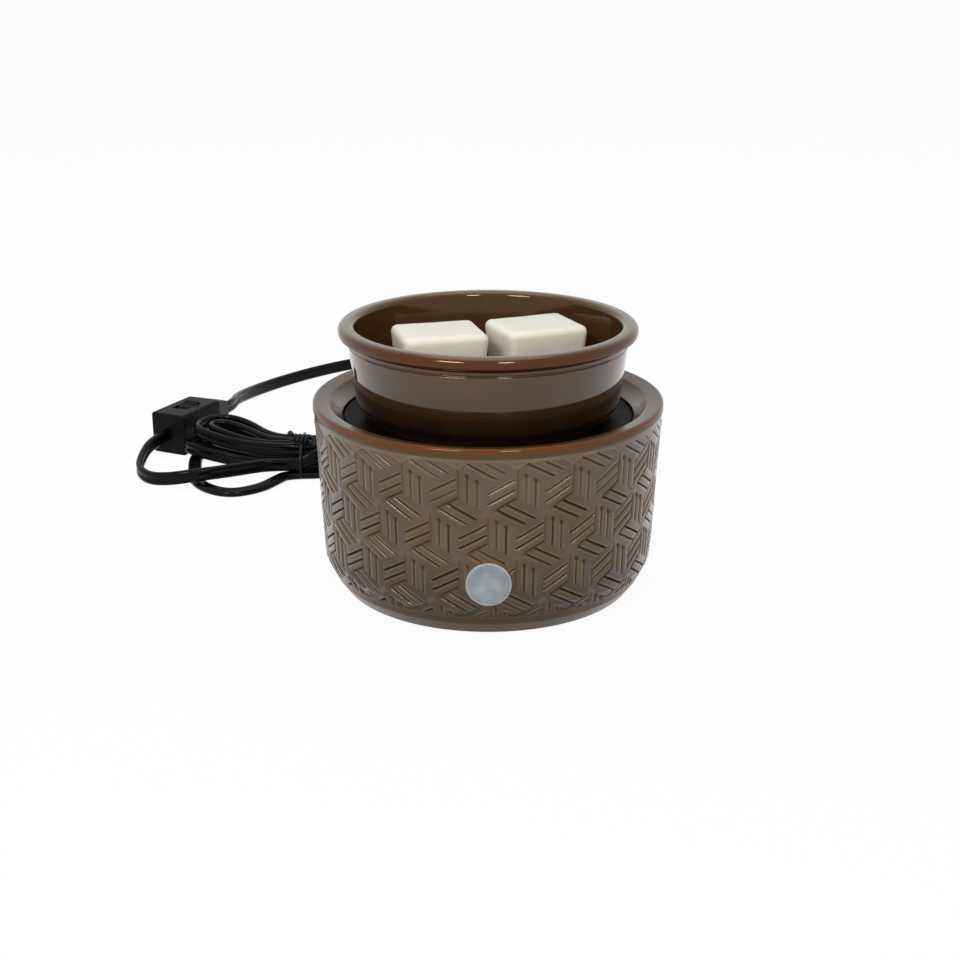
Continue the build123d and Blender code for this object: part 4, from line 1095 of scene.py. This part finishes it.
def ribbedGland():
    seat, flange, ribs = gland["seat"], gland["flange"], gland["ribs"]
    start = seat + gland["flangeThick"]
    corners = [(gland["disc"], seat, 0), (flange, seat, 0), (flange, start, 0.6)]
    pitch = gland["length"] / ribs
    for rib in range(ribs):
        radius = gland["root"] + (gland["tip"] - gland["root"]) * (rib + 0.5) / ribs
        low = start + pitch * rib
        if rib == ribs - 1:
            corners += [(radius, low, 0), (radius, low + pitch, 0.5)]
        else:
            neck = radius - gland["ribDepth"]
            corners += [(radius, low, 0), (radius, low + pitch * 0.62, 0.3)]
            corners += [(neck, low + pitch * 0.66, 0), (neck, low + pitch * 0.98, 0)]
    corners.append((2.0, start + gland["length"], 0))
    piece = turnedPiece("ribbedGland", roundedProfile(corners, 4), gland["segments"], pole=True)
    tipOver(piece, -90, gland["height"])
    return piece


glandPiece = ribbedGland()
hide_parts("cord_gland")
dress(glandPiece, vinyl)
print("strain relief set")

# Wire tie round the hank, its ends twisted together on top
tie = {
    "radius": 0.6, "side": 9.95, "high": 14.65, "inset": 1.6, "lowReach": 2.6, "highReach": 1.2,
    "slant": (4.4, 5.0), "twist": 1.4, "turns": 2.4, "length": 8.4, "end": 0.95,
    "twistSteps": 36, "curveSteps": 6, "roundness": 4,
}


def wireTube(name, points, radius, closed=False):
    wire = splineCurve(name, points, tie["curveSteps"], closed)
    wire.data.bevel_depth = radius * mm
    wire.data.bevel_resolution = tie["roundness"]
    wire.data.use_fill_caps = True
    only(wire)
    bpy.ops.object.convert(target="MESH")
    return bpy.context.object


def wireTie():
    side, high, low = tie["side"], tie["high"], tie["radius"]
    back, drop = tie["slant"]
    bends = (
        (-side - tie["lowReach"], low), (side, low), (side, high),
        (-side + back, high), (-side - tie["highReach"], high - drop),
    )
    loop = [Vector((tieX, tieY + y, z)) for y, z in bends]
    corners = []
    for i, here in enumerate(loop):
        for other in (loop[i - 1], loop[(i + 1) % len(loop)]):
            corners.append(tuple(here + (other - here).normalized() * tie["inset"]))
    wires = [wireTube("wireTie", corners, tie["radius"], closed=True)]
    knot = (tieX + 3.6, tieY - side / 3, high + 0.5)
    for phase in (0.0, math.pi):
        points = []
        for step in range(tie["twistSteps"] + 1):
            share = step / tie["twistSteps"]
            turn = phase + 2 * math.pi * tie["turns"] * share
            spread = tie["twist"] * (1 + 1.6 * ease(0.86, 1.0, share))
            x = knot[0] - tie["length"] * share
            y = knot[1] - 2.0 * share + spread * math.cos(turn)
            points.append((x, y, knot[2] + 1.0 * share + max(-0.2, spread * math.sin(turn)) + 0.2))
        wires.append(wireTube("tieEnd", points, tie["end"]))
    only(wires[0])
    for wire in wires:
        wire.select_set(True)
    bpy.ops.object.join()
    outward(wires[0])
    return wires[0]


tiePiece = wireTie()
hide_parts("twist_tie")
dress(tiePiece, finishes["tie_black"])
print("tie twisted")

# Floor, lights and surroundings
light = {
    "world": 0.42, "floor": 0.93, "floorDrop": 0.2, "aim": (0, 0, 0.05),
    "lamps": [
        ("keyLeft", (-0.50, -0.86, 0.75), (0.40, 0.17), 6.6),
        ("keyRight", (0.22, -0.86, 0.75), (0.22, 0.16), 3.8),
        ("overhead", (0.0, 0.15, 1.10), (0.9, 0.9), 3.4),
    ],
}


def seen(tree):
    # 1 for what the camera sees, straight or in a reflection or through glass
    path = tree.nodes.new("ShaderNodeLightPath")
    rays = ("Is Camera Ray", "Is Glossy Ray", "Is Transmission Ray")
    straight, mirrored, through = (Value(tree, path.outputs[ray]) for ray in rays)
    return (straight + mirrored + through).clamped()


def surroundings():
    world = bpy.data.worlds.new("surroundings")
    bpy.context.scene.world = world
    world.use_nodes = True
    tree = world.node_tree
    glow = tree.nodes["Background"]
    glow.inputs["Color"].default_value = (1, 1, 1, 1)
    strength = seen(tree) * (1.0 - light["world"]) + light["world"]
    tree.links.new(strength.socket, glow.inputs["Strength"])


def floorPlane():
    bpy.ops.object.select_all(action="DESELECT")
    bpy.ops.mesh.primitive_plane_add(size=60.0, location=(0, 0, -light["floorDrop"] * mm))
    floor = bpy.context.object
    floor.name = "floor"
    bpy.ops.object.transform_apply(location=True)
    finish = Finish("floorPaper")
    tree = finish.tree
    finish.set(colour=(0.86, 0.86, 0.86, 1), rough=0.8, specular=0.1)
    bright = tree.nodes.new("ShaderNodeEmission")
    mixed = tree.nodes.new("ShaderNodeMixShader")
    share = seen(tree) * light["floor"]
    tree.links.new(share.socket, mixed.inputs[0])
    tree.links.new(finish.shader.outputs[0], mixed.inputs[1])
    tree.links.new(bright.outputs[0], mixed.inputs[2])
    tree.links.new(mixed.outputs[0], tree.nodes["Material Output"].inputs["Surface"])
    floor.data.materials.append(finish.material)


def lamps():
    for name, place, size, power in light["lamps"]:
        data = bpy.data.lights.new(name, "AREA")
        data.shape = "ELLIPSE"
        data.size, data.size_y = size
        data.energy = power
        lamp = bpy.data.objects.new(name, data)
        bpy.context.scene.collection.objects.link(lamp)
        lamp.location = place
        lamp.rotation_euler = (Vector(light["aim"]) - Vector(place)).to_track_quat("-Z", "Y").to_euler()


surroundings()
floorPlane()
lamps()
bpy.context.scene.view_settings.view_transform = "Standard"
print("studio lit")
